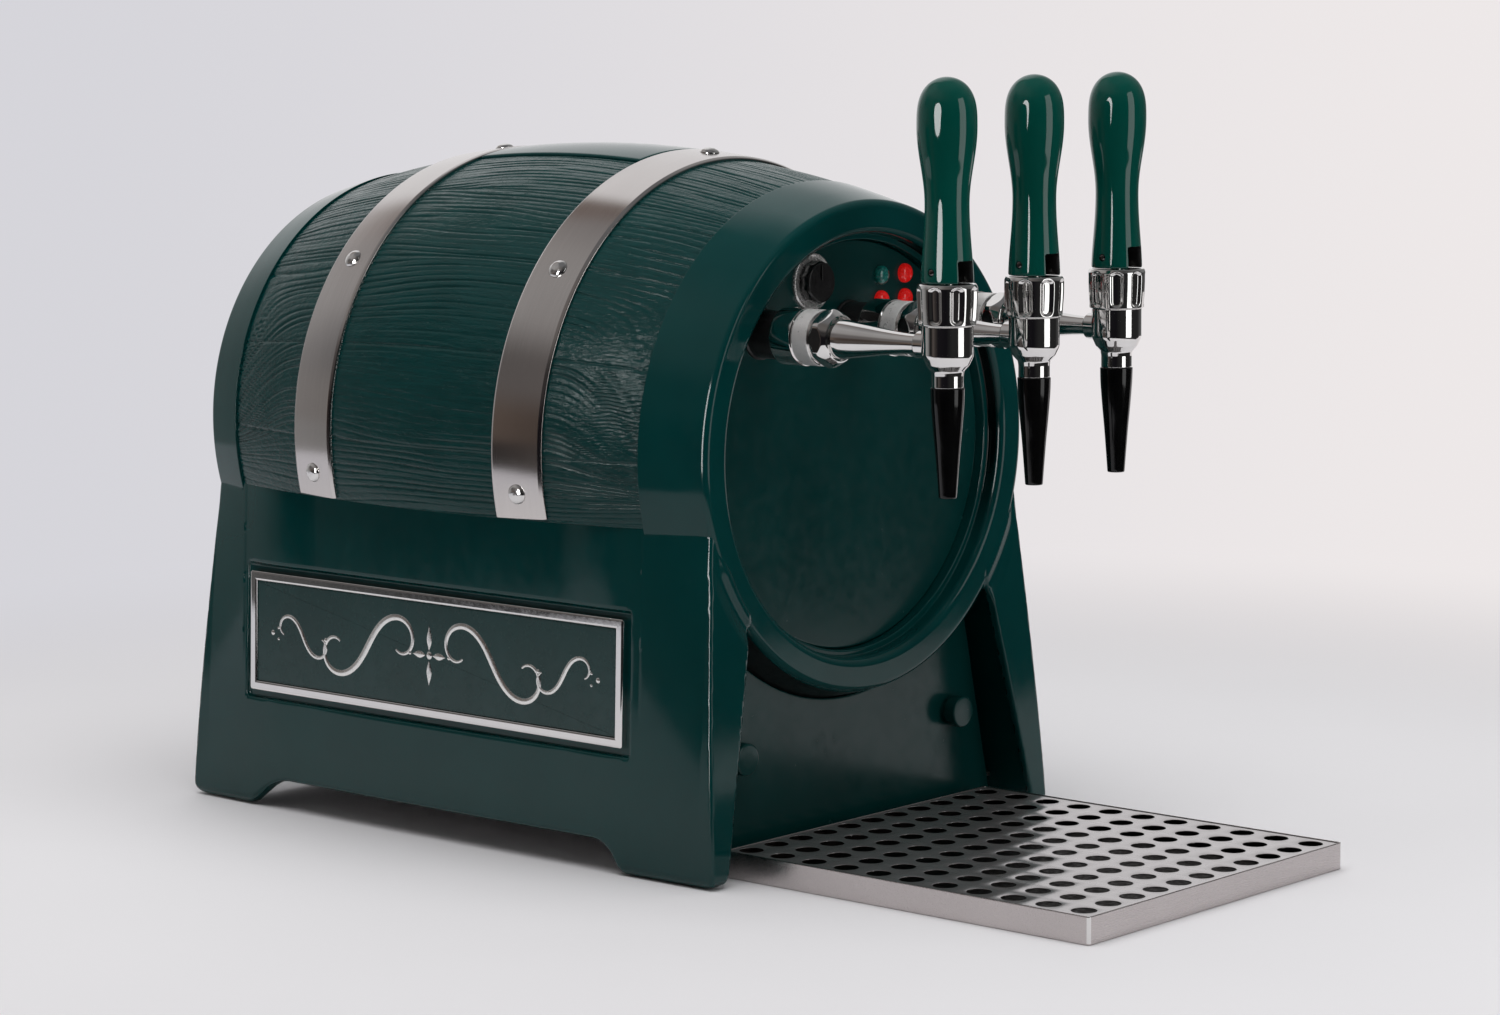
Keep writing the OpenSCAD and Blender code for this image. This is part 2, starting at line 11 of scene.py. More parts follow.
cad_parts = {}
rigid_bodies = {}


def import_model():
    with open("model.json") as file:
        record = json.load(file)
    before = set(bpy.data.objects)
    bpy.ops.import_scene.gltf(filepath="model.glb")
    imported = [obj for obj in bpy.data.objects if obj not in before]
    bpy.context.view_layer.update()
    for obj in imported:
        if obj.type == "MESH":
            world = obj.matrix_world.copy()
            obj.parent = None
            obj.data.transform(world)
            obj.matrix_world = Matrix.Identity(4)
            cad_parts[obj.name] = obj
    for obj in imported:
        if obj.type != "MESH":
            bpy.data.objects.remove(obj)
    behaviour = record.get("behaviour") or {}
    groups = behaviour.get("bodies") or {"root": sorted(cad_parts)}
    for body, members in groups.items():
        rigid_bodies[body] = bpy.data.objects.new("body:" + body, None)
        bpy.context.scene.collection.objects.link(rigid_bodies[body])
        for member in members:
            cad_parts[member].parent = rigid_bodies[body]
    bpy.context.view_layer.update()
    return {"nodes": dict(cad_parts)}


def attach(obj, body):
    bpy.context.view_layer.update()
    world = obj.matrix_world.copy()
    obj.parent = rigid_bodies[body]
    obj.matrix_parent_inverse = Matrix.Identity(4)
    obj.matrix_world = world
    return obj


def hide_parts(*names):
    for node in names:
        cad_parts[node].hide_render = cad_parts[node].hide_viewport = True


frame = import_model()

SHIFT = -97.0
AXIS_Z = 249.0
LENGTH = 440.0
WAIST_Z = 211.0
TAPS = (-81.8, 0.0, 81.8)
TAP_Y = -125.4
SHANK_Z = 323.0
HANDLE_Z = 359.3
HANDLE_H = 117.5
HOOPS = (112.0, 294.5)
HOOP_W = 38.5
RIVETS = (-7.2, 39.0, 90.0, 141.0, 187.2)
LEAN = math.radians(2.1)


# ---------------------------------------------------------------- numbers

def mix(a, b, t):
    return a + (b - a) * t


def smooth(a, b, x):
    t = np.clip((x - a) / (b - a), 0.0, 1.0)
    return t * t * (3.0 - 2.0 * t)


def br(y):
    """Radius of the barrel at y."""
    return 181.0 - 31.0 * ((y - 220.0) / 220.0) ** 2


def br_slope(y):
    return -62.0 * (y - 220.0) / 220.0 ** 2


def hash01(i, j, seed):
    i = np.asarray(i).astype(np.int64)
    j = np.asarray(j).astype(np.int64)
    h = (i * 374761393 + j * 668265263 + seed * 982451653) & 0xFFFFFFFF
    h = ((h ^ (h >> 13)) * 1274126177) & 0xFFFFFFFF
    h = h ^ (h >> 16)
    h = ((h ^ (h >> 7)) * 2246822519) & 0xFFFFFFFF
    return ((h ^ (h >> 15)) & 0xFFFFFF) / float(0xFFFFFF)


def noise2(x, y, seed):
    """Smooth value noise, about -1 to 1."""
    x = np.asarray(x, float)
    y = np.asarray(y, float)
    x, y = np.broadcast_arrays(x, y)
    i, j = np.floor(x), np.floor(y)
    u, v = x - i, y - j
    u = u * u * u * (u * (u * 6 - 15) + 10)
    v = v * v * v * (v * (v * 6 - 15) + 10)
    a, b = hash01(i, j, seed), hash01(i + 1, j, seed)
    c, d = hash01(i, j + 1, seed), hash01(i + 1, j + 1, seed)
    return 2.0 * mix(mix(a, b, u), mix(c, d, u), v) - 1.0


# ---------------------------------------------------------------- outlines

def rounded(points, n=6, support=0.35):
    """A polyline with its corners rounded: points are (a, b) or (a, b, radius)."""
    pts = [np.array(p[:2], float) for p in points]
    rad = [p[2] if len(p) > 2 else 0.0 for p in points]
    out = []
    for i, p in enumerate(pts):
        if i in (0, len(pts) - 1) or rad[i] <= 0:
            out.append(p)
            continue
        u, v = pts[i - 1] - p, pts[i + 1] - p
        lu, lv = np.linalg.norm(u), np.linalg.norm(v)
        u, v = u / lu, v / lv
        half = math.acos(max(-1.0, min(1.0, float(u @ v)))) / 2
        if half > math.pi / 2 - 0.02:
            out.append(p)
            continue
        d = min(rad[i] / math.tan(half), 0.48 * lu, 0.48 * lv)
        r = d * math.tan(half)
        bis = (u + v) / np.linalg.norm(u + v)
        c = p + bis * (r / math.sin(half))
        a0, a1 = p + u * d - c, p + v * d - c
        turn_by = math.pi - 2 * half
        for k in range(n + 1):
            t = k / n
            out.append(c + (math.sin((1 - t) * turn_by) * a0 + math.sin(t * turn_by) * a1) / math.sin(turn_by))
    res = [out[0]]
    for a, b in zip(out, out[1:]):
        gap = np.linalg.norm(b - a)
        if gap < 1e-6:
            continue
        if gap > 4 * support:
            res.append(a + (b - a) * (support / gap))
            res.append(b - (b - a) * (support / gap))
        res.append(b)
    return np.array(res)


def spline(points, n=8):
    """A smooth curve through (a, b) points."""
    p = np.array(points, float)
    p = np.vstack([2 * p[0] - p[1], p, 2 * p[-1] - p[-2]])
    out = []
    for i in range(1, len(p) - 2):
        for k in range(n):
            t = k / n
            out.append(0.5 * (2 * p[i] + (p[i + 1] - p[i - 1]) * t + (2 * p[i - 1] - 5 * p[i] + 4 * p[i + 1] - p[i + 2]) * t * t
                              + (3 * p[i] - p[i - 1] - 3 * p[i + 1] + p[i + 2]) * t ** 3))
    out.append(p[-2])
    return np.array(out)


def inset(outline, d):
    """A counter-clockwise outline moved inwards by d."""
    p = outline
    e1 = p - np.roll(p, 1, 0)
    e2 = np.roll(p, -1, 0) - p
    e1 /= np.linalg.norm(e1, axis=1)[:, None]
    e2 /= np.linalg.norm(e2, axis=1)[:, None]
    n1 = np.stack([-e1[:, 1], e1[:, 0]], 1)
    n2 = np.stack([-e2[:, 1], e2[:, 0]], 1)
    m = (n1 + n2) / (1.0 + np.sum(n1 * n2, 1))[:, None]
    return p + m * d


def round_rect(w, h, r, n=6):
    """Counter-clockwise outline of a rectangle w by h about 0, with rounded corners."""
    out = []
    for cx, cy, a0 in ((w / 2 - r, h / 2 - r, 0), (-w / 2 + r, h / 2 - r, 90), (-w / 2 + r, -h / 2 + r, 180), (w / 2 - r, -h / 2 + r, 270)):
        for k in range(n + 1):
            a = math.radians(a0 + 90 * k / n)
            out.append((cx + r * math.cos(a), cy + r * math.sin(a)))
    return np.array(out)


# ---------------------------------------------------------------- meshes

def grid_faces(nu, nv, wrap_u=False, wrap_v=False):
    i, j = np.meshgrid(np.arange(nu if wrap_u else nu - 1), np.arange(nv if wrap_v else nv - 1), indexing="ij")
    i2, j2 = (i + 1) % nu, (j + 1) % nv
    return np.stack([i * nv + j, i2 * nv + j, i2 * nv + j2, i * nv + j2], -1).reshape(-1, 4)


class Shape:
    """Points and faces gathered for one mesh."""

    def __init__(self):
        self.v, self.f, self.n = [], [], 0

    def add(self, points, *faces):
        points = np.asarray(points, float).reshape(-1, 3)
        self.v.append(points)
        for f in faces:
            f = np.asarray(f, int)
            if f.size:
                self.f.append(f + self.n)
        self.n += len(points)
        return self

    def join(self, other, move=(0, 0, 0), fn=None):
        p = other.points()
        p = fn(p) if fn else p + np.asarray(move, float)
        return self.add(p, *other.f)

    def points(self):
        return np.vstack(self.v)


def make(name, shape, mat, body="body", nodes=(), angle=38, fix=True, normals=None, uv=None):
    pts = shape.points().copy()
    pts[:, 1] += SHIFT
    pts *= 0.001
    me = bpy.data.meshes.new(name)
    idx = np.concatenate([f.ravel() for f in shape.f])
    cnt = np.concatenate([np.full(len(f), f.shape[1]) for f in shape.f])
    me.vertices.add(len(pts))
    me.vertices.foreach_set("co", pts.astype(np.float32).ravel())
    me.loops.add(len(idx))
    me.loops.foreach_set("vertex_index", idx.astype(np.int32))
    me.polygons.add(len(cnt))
    me.polygons.foreach_set("loop_start", np.concatenate([[0], np.cumsum(cnt)[:-1]]).astype(np.int32))
    me.update(calc_edges=True)
    me.validate()
    if fix:
        bm = bmesh.new()
        bm.from_mesh(me)
        bmesh.ops.remove_doubles(bm, verts=bm.verts, dist=1e-7)
        bmesh.ops.recalc_face_normals(bm, faces=bm.faces)
        bm.to_mesh(me)
        bm.free()
    me.polygons.foreach_set("use_smooth", np.ones(len(me.polygons), bool))
    if normals is not None and len(normals) == len(me.vertices):
        me.normals_split_custom_set_from_vertices([tuple(n) for n in normals])
    elif angle < 180:
        me.set_sharp_from_angle(angle=math.radians(angle))
    if uv is not None and len(uv) == len(me.vertices):
        layer = me.uv_layers.new(name="UVMap")
        li = np.zeros(len(me.loops), np.int32)
        me.loops.foreach_get("vertex_index", li)
        layer.data.foreach_set("uv", np.asarray(uv, np.float32)[li].ravel())
    me.update()
    ob = bpy.data.objects.new(name, me)
    bpy.context.scene.collection.objects.link(ob)
    me.materials.append(mat)
    finish_piece(ob, body, nodes)
    return ob


def finish_piece(ob, body, nodes):
    if body is None:
        return
    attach(ob, body)
    if nodes:
        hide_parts(*nodes)


def cut(ob, cutter, width=0.0, angle=34, flat_along=None):
    """Takes the cutter's volume out of ob, and breaks the new edges by width (mm). Faces square to the axis flat_along shade flat."""
    m = ob.modifiers.new("cut", "BOOLEAN")
    m.operation, m.solver, m.object = "DIFFERENCE", "EXACT", cutter
    if width:
        b = ob.modifiers.new("edge", "BEVEL")
        b.width, b.segments, b.limit_method, b.angle_limit = width * 0.001, 2, "ANGLE", math.radians(50)
        b.harden_normals = False
    dg = bpy.context.evaluated_depsgraph_get()
    me = bpy.data.meshes.new_from_object(ob.evaluated_get(dg))
    me.name = ob.name
    ob.modifiers.clear()
    old = ob.data
    ob.data = me
    bpy.data.meshes.remove(old)
    data = cutter.data
    bpy.data.objects.remove(cutter)
    bpy.data.meshes.remove(data)
    flat = np.zeros(len(me.polygons), bool)
    if flat_along is not None:
        nor = np.empty(len(me.polygons) * 3, np.float32)
        me.polygons.foreach_get("normal", nor)
        flat = np.abs(nor.reshape(-1, 3)[:, flat_along]) > 0.9995
    me.polygons.foreach_set("use_smooth", ~flat)
    me.set_sharp_from_angle(angle=math.radians(angle))
    return ob


def turn(profile, axis="z", at=(0, 0, 0), seg=96, shape_r=None, phase=0.0):
    """A turned shape: profile holds (radius, place along the axis)."""
    p = np.asarray(profile, float)
    phi = phase + np.linspace(0, 2 * math.pi, seg, endpoint=False)
    r, t = p[:, 0][:, None], p[:, 1][:, None]
    rr = r * np.ones((1, seg))
    if shape_r is not None:
        rr = shape_r(rr, t * np.ones((1, seg)), phi[None, :] * np.ones((len(p), 1)))
    c, s = rr * np.cos(phi), rr * np.sin(phi)
    tt = t * np.ones((1, seg))
    xyz = {"x": (tt, c, s), "y": (c, tt, s), "z": (c, s, tt)}[axis]
    pts = np.stack(xyz, -1) + np.asarray(at, float)
    sh = Shape()
    keep = np.arange(len(p))
    lo = p[0, 0] < 1e-6
    hi = p[-1, 0] < 1e-6
    keep = keep[(1 if lo else 0):(len(p) - 1 if hi else len(p))]
    ring = pts[keep]
    body = ring.reshape(-1, 3)
    faces = [grid_faces(len(keep), seg, wrap_v=True)]
    extra = []
    k = np.arange(seg)
    n0 = len(body)
    if lo:
        extra.append(pts[0, 0])
        faces.append(np.stack([np.full(seg, n0 + len(extra) - 1), k, (k + 1) % seg], 1))
    if hi:
        extra.append(pts[-1, 0])
        base = (len(keep) - 1) * seg
        faces.append(np.stack([np.full(seg, n0 + len(extra) - 1), base + (k + 1) % seg, base + k], 1))
    pts_all = np.vstack([body] + [np.array(extra)] if extra else [body])
    return sh.add(pts_all, *faces)


def slab(outline, r, depth, place, steps=5):
    """A plate with a rounded front edge; place(a, b, d) gives the point d behind the face."""
    n = len(outline)
    loops = [(0.0, depth)] + [(0.0, r + 0.4)] + [(r * (1 - math.cos(a)), r * (1 - math.sin(a))) for a in np.linspace(0, math.pi / 2, steps + 1)]
    loops.append((r + 0.5, 0.0))
    pts = []
    for ins, d in loops:
        o = inset(outline, ins) if ins > 0 else outline
        pts.append(place(o[:, 0], o[:, 1], np.full(n, d)))
    sh = Shape()
    sh.add(np.vstack(pts), grid_faces(len(loops), n, wrap_v=True),
           (np.arange(n) + (len(loops) - 1) * n)[None, :], np.arange(n)[::-1][None, :])
    return sh


def soft_rows(rows, gap=0.8):
    """Adds points so that no step along a profile is longer than gap."""
    out = [rows[0]]
    for a, b in zip(rows, rows[1:]):
        n = max(1, int(math.ceil(np.linalg.norm(np.asarray(b) - a) / gap)))
        for k in range(1, n + 1):
            out.append(np.asarray(a) + (np.asarray(b) - a) * k / n)
    return np.array(out)


# ---------------------------------------------------------------- materials

class Paint:
    """A small helper to write a node material; texture places are in millimetres."""

    def __init__(self, name):
        self.m = bpy.data.materials.new(name)
        self.m.use_nodes = True
        self.t = self.m.node_tree
        self.t.nodes.clear()
        self.out = self.t.nodes.new("ShaderNodeOutputMaterial")
        self.b = self.t.nodes.new("ShaderNodeBsdfPrincipled")
        self.t.links.new(self.b.outputs["BSDF"], self.out.inputs["Surface"])
        self.where = self.t.nodes.new("ShaderNodeTexCoord").outputs["Object"]

    def link(self, a, b):
        self.t.links.new(a, b)

    def set(self, **kw):
        for k, v in kw.items():
            sock = self.b.inputs[k.replace("_", " ")]
            sock.default_value = (*v, 1.0) if sock.type == "RGBA" and len(v) == 3 else v
        return self

    def at(self, sx=1.0, sy=None, sz=None):
        n = self.t.nodes.new("ShaderNodeVectorMath")
        n.operation = "MULTIPLY"
        n.inputs[1].default_value = (1000 * sx, 1000 * (sx if sy is None else sy), 1000 * (sx if sz is None else sz))
        self.link(self.where, n.inputs[0])
        return n.outputs[0]

    def noise(self, vec, scale=1.0, detail=3.0, rough=0.5, warp=0.0):
        n = self.t.nodes.new("ShaderNodeTexNoise")
        n.inputs["Scale"].default_value = scale
        n.inputs["Detail"].default_value = detail
        n.inputs["Roughness"].default_value = rough
        n.inputs["Distortion"].default_value = warp
        self.link(vec, n.inputs["Vector"])
        return n.outputs["Fac"]

    def cells(self, vec, scale=1.0, feature="F1"):
        n = self.t.nodes.new("ShaderNodeTexVoronoi")
        n.feature = feature
        n.inputs["Scale"].default_value = scale
        self.link(vec, n.inputs["Vector"])
        return n.outputs["Distance"]

    def span(self, fac, a, b, c, d):
        n = self.t.nodes.new("ShaderNodeMapRange")
        n.inputs["From Min"].default_value = a
        n.inputs["From Max"].default_value = b
        n.inputs["To Min"].default_value = c
        n.inputs["To Max"].default_value = d
        self.link(fac, n.inputs["Value"])
        return n.outputs["Result"]

    def ramp(self, fac, *stops):
        n = self.t.nodes.new("ShaderNodeValToRGB")
        e = n.color_ramp.elements
        while len(e) < len(stops):
            e.new(0.5)
        for el, (pos, col) in zip(e, stops):
            el.position = pos
            el.color = (*col, 1.0)
        self.link(fac, n.inputs["Fac"])
        return n.outputs["Color"]

    def math(self, op, a, b):
        n = self.t.nodes.new("ShaderNodeMath")
        n.operation = op
        for s, v in zip(n.inputs, (a, b)):
            if isinstance(v, (int, float)):
                s.default_value = v
            else:
                self.link(v, s)
        return n.outputs[0]

    def blend(self, fac, a, b):
        n = self.t.nodes.new("ShaderNodeMix")
        n.data_type = "RGBA"
        self.link(fac, n.inputs["Factor"])
        for s, v in zip((n.inputs[6], n.inputs[7]), (a, b)):
            if isinstance(v, tuple):
                s.default_value = (*v, 1.0)
            else:
                self.link(v, s)
        return n.outputs[2]

    def bump(self, height, mm, strength=1.0, after=None):
        n = self.t.nodes.new("ShaderNodeBump")
        n.inputs["Strength"].default_value = strength
        n.inputs["Distance"].default_value = mm * 0.001
        self.link(height, n.inputs["Height"])
        if after is not None:
            self.link(after, n.inputs["Normal"])
        return n.outputs["Normal"]

    def pos(self, axis):
        n = self.t.nodes.new("ShaderNodeSeparateXYZ")
        self.link(self.where, n.inputs[0])
        return n.outputs["XYZ".index(axis)]

    def to(self, **kw):
        for k, v in kw.items():
            self.link(v, self.b.inputs[k.replace("_", " ")])
        return self


def lacquer(name, dark, light, rough=0.1, wave=0.02, coat=0.0, spec=0.5):
    p = Paint(name)
    mm = p.at()
    n = p.noise(mm, 1 / 55.0, 3)
    p.to(Base_Color=p.ramp(n, (0.3, dark), (0.72, light)))
    dust = p.noise(mm, 1 / 9.0, 5, 0.6)
    p.to(Roughness=p.span(dust, 0.3, 0.8, rough * 0.75, rough * 1.5))
    peel = p.noise(mm, 1 / 7.0, 2)
    p.to(Normal=p.bump(peel, wave))
    p.set(Specular_IOR_Level=spec, Coat_Weight=coat, Coat_Roughness=0.04)
    return p.m


def recess_shade_paint(name, dark, light, spec):
    """The shell's lacquer with painted shade: near black in the ring's inner corner on the right."""
    p = Paint(name)
    mm = p.at()
    sep = p.t.nodes.new("ShaderNodeSeparateXYZ")
    p.link(mm, sep.inputs[0])
    # painted shade: the base colour goes near black deeper in the recess and towards the upper part of the wall
    deep = p.math("MULTIPLY", p.span(sep.outputs["Y"], SHIFT + 2.0, SHIFT + 5.5, 0.0, 1.0), p.span(sep.outputs["Z"], AXIS_Z - 74.0, AXIS_Z - 14.0, 0.0, 1.0))
    col = p.ramp(p.noise(mm, 1 / 55.0, 3), (0.3, dark), (0.72, light))
    p.to(Base_Color=p.blend(deep, col, (0.0003, 0.0016, 0.0018)))
    p.to(Roughness=p.span(p.noise(mm, 1 / 9.0, 5, 0.6), 0.3, 0.8, 0.08, 0.15))
    p.to(Normal=p.bump(p.noise(mm, 1 / 7.0, 2), 0.012))
    p.set(Specular_IOR_Level=spec, Coat_Weight=0.0)
    return p.m


def stave_paint(name, dark, light):
    """Lacquered wood-grain moulding: fine fibres along Y, worn glossy ridges."""
    p = Paint(name)
    mm = p.at()
    n = p.noise(mm, 1 / 40.0, 4, 0.55)
    fib = p.noise(p.at(1 / 1.5, 1 / 42.0, 1 / 1.5), 1.0, 4, 0.6, 0.25)
    col = p.ramp(n, (0.3, dark), (0.75, light))
    p.to(Base_Color=p.blend(p.span(fib, 0.35, 0.75, 0.0, 0.55), col, tuple(c * 0.55 for c in dark)))
    p.to(Roughness=p.span(p.noise(p.at(1 / 3.0, 1 / 18.0, 1 / 3.0), 1.0, 4, 0.65), 0.3, 0.75, 0.13, 0.3))
    h1 = p.bump(fib, 0.16)
    fleck = p.noise(p.at(1 / 2.1, 1 / 6.0, 1 / 2.1), 1.0, 3, 0.6)
    h2 = p.bump(p.span(fleck, 0.45, 0.75, 0.0, 1.0), 0.14, 1.0, h1)
    p.to(Normal=h2)
    p.set(Specular_IOR_Level=0.28)
    return p.m


def polished(name, tint=(0.78, 0.77, 0.76), rough=0.05, wave=0.006, metal=1.0):
    p = Paint(name)
    mm = p.at()
    n = p.noise(mm, 1 / 14.0, 4)
    p.to(Base_Color=p.ramp(n, (0.3, tuple(c * 0.96 for c in tint)), (0.7, tint)))
    p.to(Roughness=p.span(p.noise(mm, 1 / 3.5, 5, 0.65), 0.35, 0.8, rough * 0.7, rough * 1.9))
    p.to(Normal=p.bump(p.noise(mm, 1 / 6.0, 2), wave))
    p.set(Metallic=metal)
    return p.m


def brushed(name, along, tint=(0.62, 0.6, 0.59), rough=0.26, aniso=0.6, depth=0.012, uv=True, metal=1.0):
    """Brushed sheet steel: along holds the length scale of the strokes for X, Y and Z in mm."""
    p = Paint(name)
    sx, sy, sz = (1.0 / a for a in along)
    stroke = p.noise(p.at(sx, sy, sz), 1.0, 5, 0.7)
    big = p.noise(p.at(), 1 / 45.0, 3)
    c = p.ramp(stroke, (0.25, tuple(k * 0.9 for k in tint)), (0.75, tuple(min(1, k * 1.06) for k in tint)))
    p.to(Base_Color=p.blend(p.span(big, 0.35, 0.7, 0.0, 0.35), c, tuple(k * 0.88 for k in tint)))
    p.to(Roughness=p.span(stroke, 0.3, 0.75, rough * 0.85, rough * 1.2))
    p.to(Normal=p.bump(stroke, depth))
    p.set(Metallic=metal, Anisotropic=aniso)
    if uv:
        t = p.t.nodes.new("ShaderNodeTangent")
        t.direction_type = "UV_MAP"
        t.uv_map = "UVMap"
        p.link(t.outputs["Tangent"], p.b.inputs["Tangent"])
    return p.m


def plastic(name, dark, light, rough=0.3, grain=1.2, wave=0.02, coat=0.0, spec=0.5):
    p = Paint(name)
    mm = p.at()
    p.to(Base_Color=p.ramp(p.noise(mm, 1 / 12.0, 4), (0.3, dark), (0.7, light)))
    p.to(Roughness=p.span(p.noise(mm, 1 / 4.0, 4, 0.6), 0.3, 0.75, rough * 0.8, rough * 1.25))
    p.to(Normal=p.bump(p.noise(mm, 1 / grain, 3), wave))
    p.set(Coat_Weight=coat, Coat_Roughness=0.05, Specular_IOR_Level=spec)
    return p.m


def jewel(name, deep, bright, glow=(0, 0, 0), power=0.0):
    p = Paint(name)
    mm = p.at()
    p.to(Base_Color=p.ramp(p.cells(mm, 1 / 1.3), (0.1, bright), (0.75, deep)))
    p.to(Roughness=p.span(p.noise(mm, 1 / 2.5, 3), 0.3, 0.7, 0.08, 0.16))
    p.to(Normal=p.bump(p.cells(mm, 1 / 1.3), 0.05))
    p.set(Coat_Weight=0.6, Coat_Roughness=0.04, Subsurface_Weight=0.25, Subsurface_Radius=(0.002, 0.001, 0.001), Emission_Color=glow, Emission_Strength=power)
    return p.m


GREEN_D, GREEN_L = (0.0003, 0.0360, 0.0350), (0.0010, 0.0440, 0.0425)
M_SHELL = lacquer("shell_green", GREEN_D, GREEN_L, rough=0.1, wave=0.012, spec=0.33)
M_RECESS_SHADE = recess_shade_paint("shell_recess_painted_shade", GREEN_D, GREEN_L, 0.22)
M_STAVE = stave_paint("stave_green", GREEN_D, GREEN_L)
M_PANEL = lacquer("panel_green", (0.0010, 0.0310, 0.0295), (0.0020, 0.0380, 0.0360), rough=0.2, wave=0.02, spec=0.4)
M_PLATE = lacquer("plate_green", (0.0022, 0.0330, 0.0310), (0.0034, 0.0410, 0.0390), rough=0.24, wave=0.02)
M_HANDLE = lacquer("handle_green", (0.0008, 0.0560, 0.0420), (0.0012, 0.0660, 0.0500), rough=0.05, wave=0.006)
M_CHROME = polished("chrome")
M_SATIN = polished("satin_band", (0.74, 0.73, 0.72), 0.36, 0.01, 0.55)
M_BEZEL = polished("satin_chrome", (0.76, 0.75, 0.74), 0.2, 0.008, 0.75)
M_PIN = polished("dark_pin", (0.16, 0.15, 0.15), 0.16, 0.004)
M_SILVER = polished("ornament_silver", (0.82, 0.82, 0.8), 0.2, 0.01)
M_RIVET = polished("rivet_steel", (0.74, 0.73, 0.72), 0.14, 0.008)
M_HOOP = brushed("hoop_steel", (60, 0.45, 60), (0.64, 0.61, 0.595), 0.16, 0.5, 0.006)
M_TRAY = brushed("tray_steel", (40, 0.5, 0.5), (0.59, 0.545, 0.54), 0.27, 0.4, 0.01)
M_GRID = brushed("grid_steel", (0.5, 40, 40), (0.6, 0.575, 0.575), 0.3, 0.4, 0.01, metal=0.88)
M_STEEL = brushed("steel_sheet", (30, 0.6, 30), (0.6, 0.59, 0.58), 0.3, 0.0, 0.01, uv=False)
# dark steel as painted shade, for the tray's inside and the grid's hole walls
M_STEEL_SHADE = polished("steel_painted_shade", (0.07, 0.062, 0.058), 0.42, 0.02)
M_SCREW = polished("screw_steel", (0.68, 0.67, 0.65), 0.18, 0.006)
M_BRASS = polished("brass", (0.72, 0.52, 0.24), 0.2, 0.008)
M_BLACK = plastic("black_satin", (0.0075, 0.0075, 0.008), (0.013, 0.013, 0.0135), 0.34, 0.9, 0.012)
M_GLOSS = plastic("black_gloss", (0.0012, 0.0012, 0.0014), (0.0026, 0.0026, 0.0028), 0.08, 6.0, 0.006, spec=0.4)
M_KNOB = plastic("knob_black", (0.005, 0.005, 0.0055), (0.009, 0.009, 0.0095), 0.2, 1.5, 0.008, coat=0.2)
M_RED = jewel("lens_red", (0.34, 0.004, 0.004), (0.7, 0.012, 0.01), (0.9, 0.012, 0.01), 0.3)
M_TEAL = jewel("lens_teal", (0.004, 0.1, 0.09), (0.012, 0.26, 0.22))
M_RUBBER = plastic("silicone", (0.42, 0.41, 0.38), (0.5, 0.49, 0.45), 0.45, 2.0, 0.02)
M_HOSE = plastic("hose", (0.5, 0.5, 0.46), (0.6, 0.6, 0.56), 0.3, 3.0, 0.01)
M_HEATER = plastic("element_dark", (0.12, 0.11, 0.1), (0.18, 0.17, 0.16), 0.4, 1.5, 0.02)


# ---------------------------------------------------------------- housing: rings and bands

BAND_1, BAND_2 = 45.0, 406.0
SKIN_UP, STAVE_DOWN = 0.5, 0.9


def housing_rings():
    ys = np.linspace(20.0, BAND_1 - 0.8, 12)
    front = [(123, 30), (123, 21.6, 0.5), (126.6, 21.6, 0.3), (126.6, 11.5, 0.9), (130.5, 11.5, 0.8), (130.5, 0, 5.2), (150.6, 0, 4.8), (br(18) + SKIN_UP, 18)]
    f = rounded(front, 10)
    skin = np.array([(br(y) + SKIN_UP, y) for y in ys])
    edge = rounded([(br(BAND_1 - 0.8) + SKIN_UP, BAND_1 - 0.8), (br(BAND_1) + SKIN_UP, BAND_1, 0.7), (br(BAND_1) - 3.0, BAND_1 + 0.15)], 4, 0.2)
    a = np.vstack([f, skin, edge[1:]])
    # the rear end has its own recess depth
    rear = [(120, 409), (120, 422, 0.5), (130.5, 422, 0.9), (130.5, 440, 5.2), (150.6, 440, 4.8), (br(422) + SKIN_UP, 422)]
    ys2 = np.linspace(420.0, BAND_2 + 0.8, 10)
    r = np.vstack([rounded(rear, 10), [(br(y) + SKIN_UP, y) for y in ys2],
                   rounded([(br(BAND_2 + 0.8) + SKIN_UP, BAND_2 + 0.8), (br(BAND_2) + SKIN_UP, BAND_2, 0.7), (br(BAND_2) - 3.0, BAND_2 - 0.15)], 4, 0.2)[1:]])
    inner1 = np.array([(br(45) - 5.0, 45.1), (150, 31), (123, 30)])
    inner2 = np.array([(br(406) - 5.0, 405.9), (150, 409), (120, 409)])
    sh = Shape()
    seg = 480
    for prof in (np.vstack([a, inner1]), np.vstack([r, inner2])):
        sh.join(turn(prof, "y", (0, 0, AXIS_Z), seg))
    return sh


RINGS = make("housing_rings", housing_rings(), M_SHELL, nodes=("housing",), angle=50)
# painted shade: the underside behind the ring, above the lower panels, takes the black material where it lies in shadow
RINGS.data.materials.append(M_BLACK)
RINGS.data.materials.append(M_RECESS_SHADE)
for poly in RINGS.data.polygons:
    c = poly.center * 1000.0 - Vector((0, SHIFT, 0))
    # painted shade: the right side of the ring's inner wall takes the darkened recess lacquer
    if c.x > 40.0 and 1.0 < c.y < 11.4 and math.hypot(c.x, c.z - AXIS_Z) < 132.5:
        poly.material_index = 2
    # painted shade: black on the shadowed underside behind the ring
    if (5.0 < c.y < 46.0 or 405.0 < c.y < 435.0) and math.hypot(c.x, c.z - AXIS_Z) > 148.0 and c.z < AXIS_Z - 100.0 and abs(c.x) < 0.95 * (148.5 - 36.5 * (c.z + 1) / 166.0):
        poly.material_index = 1


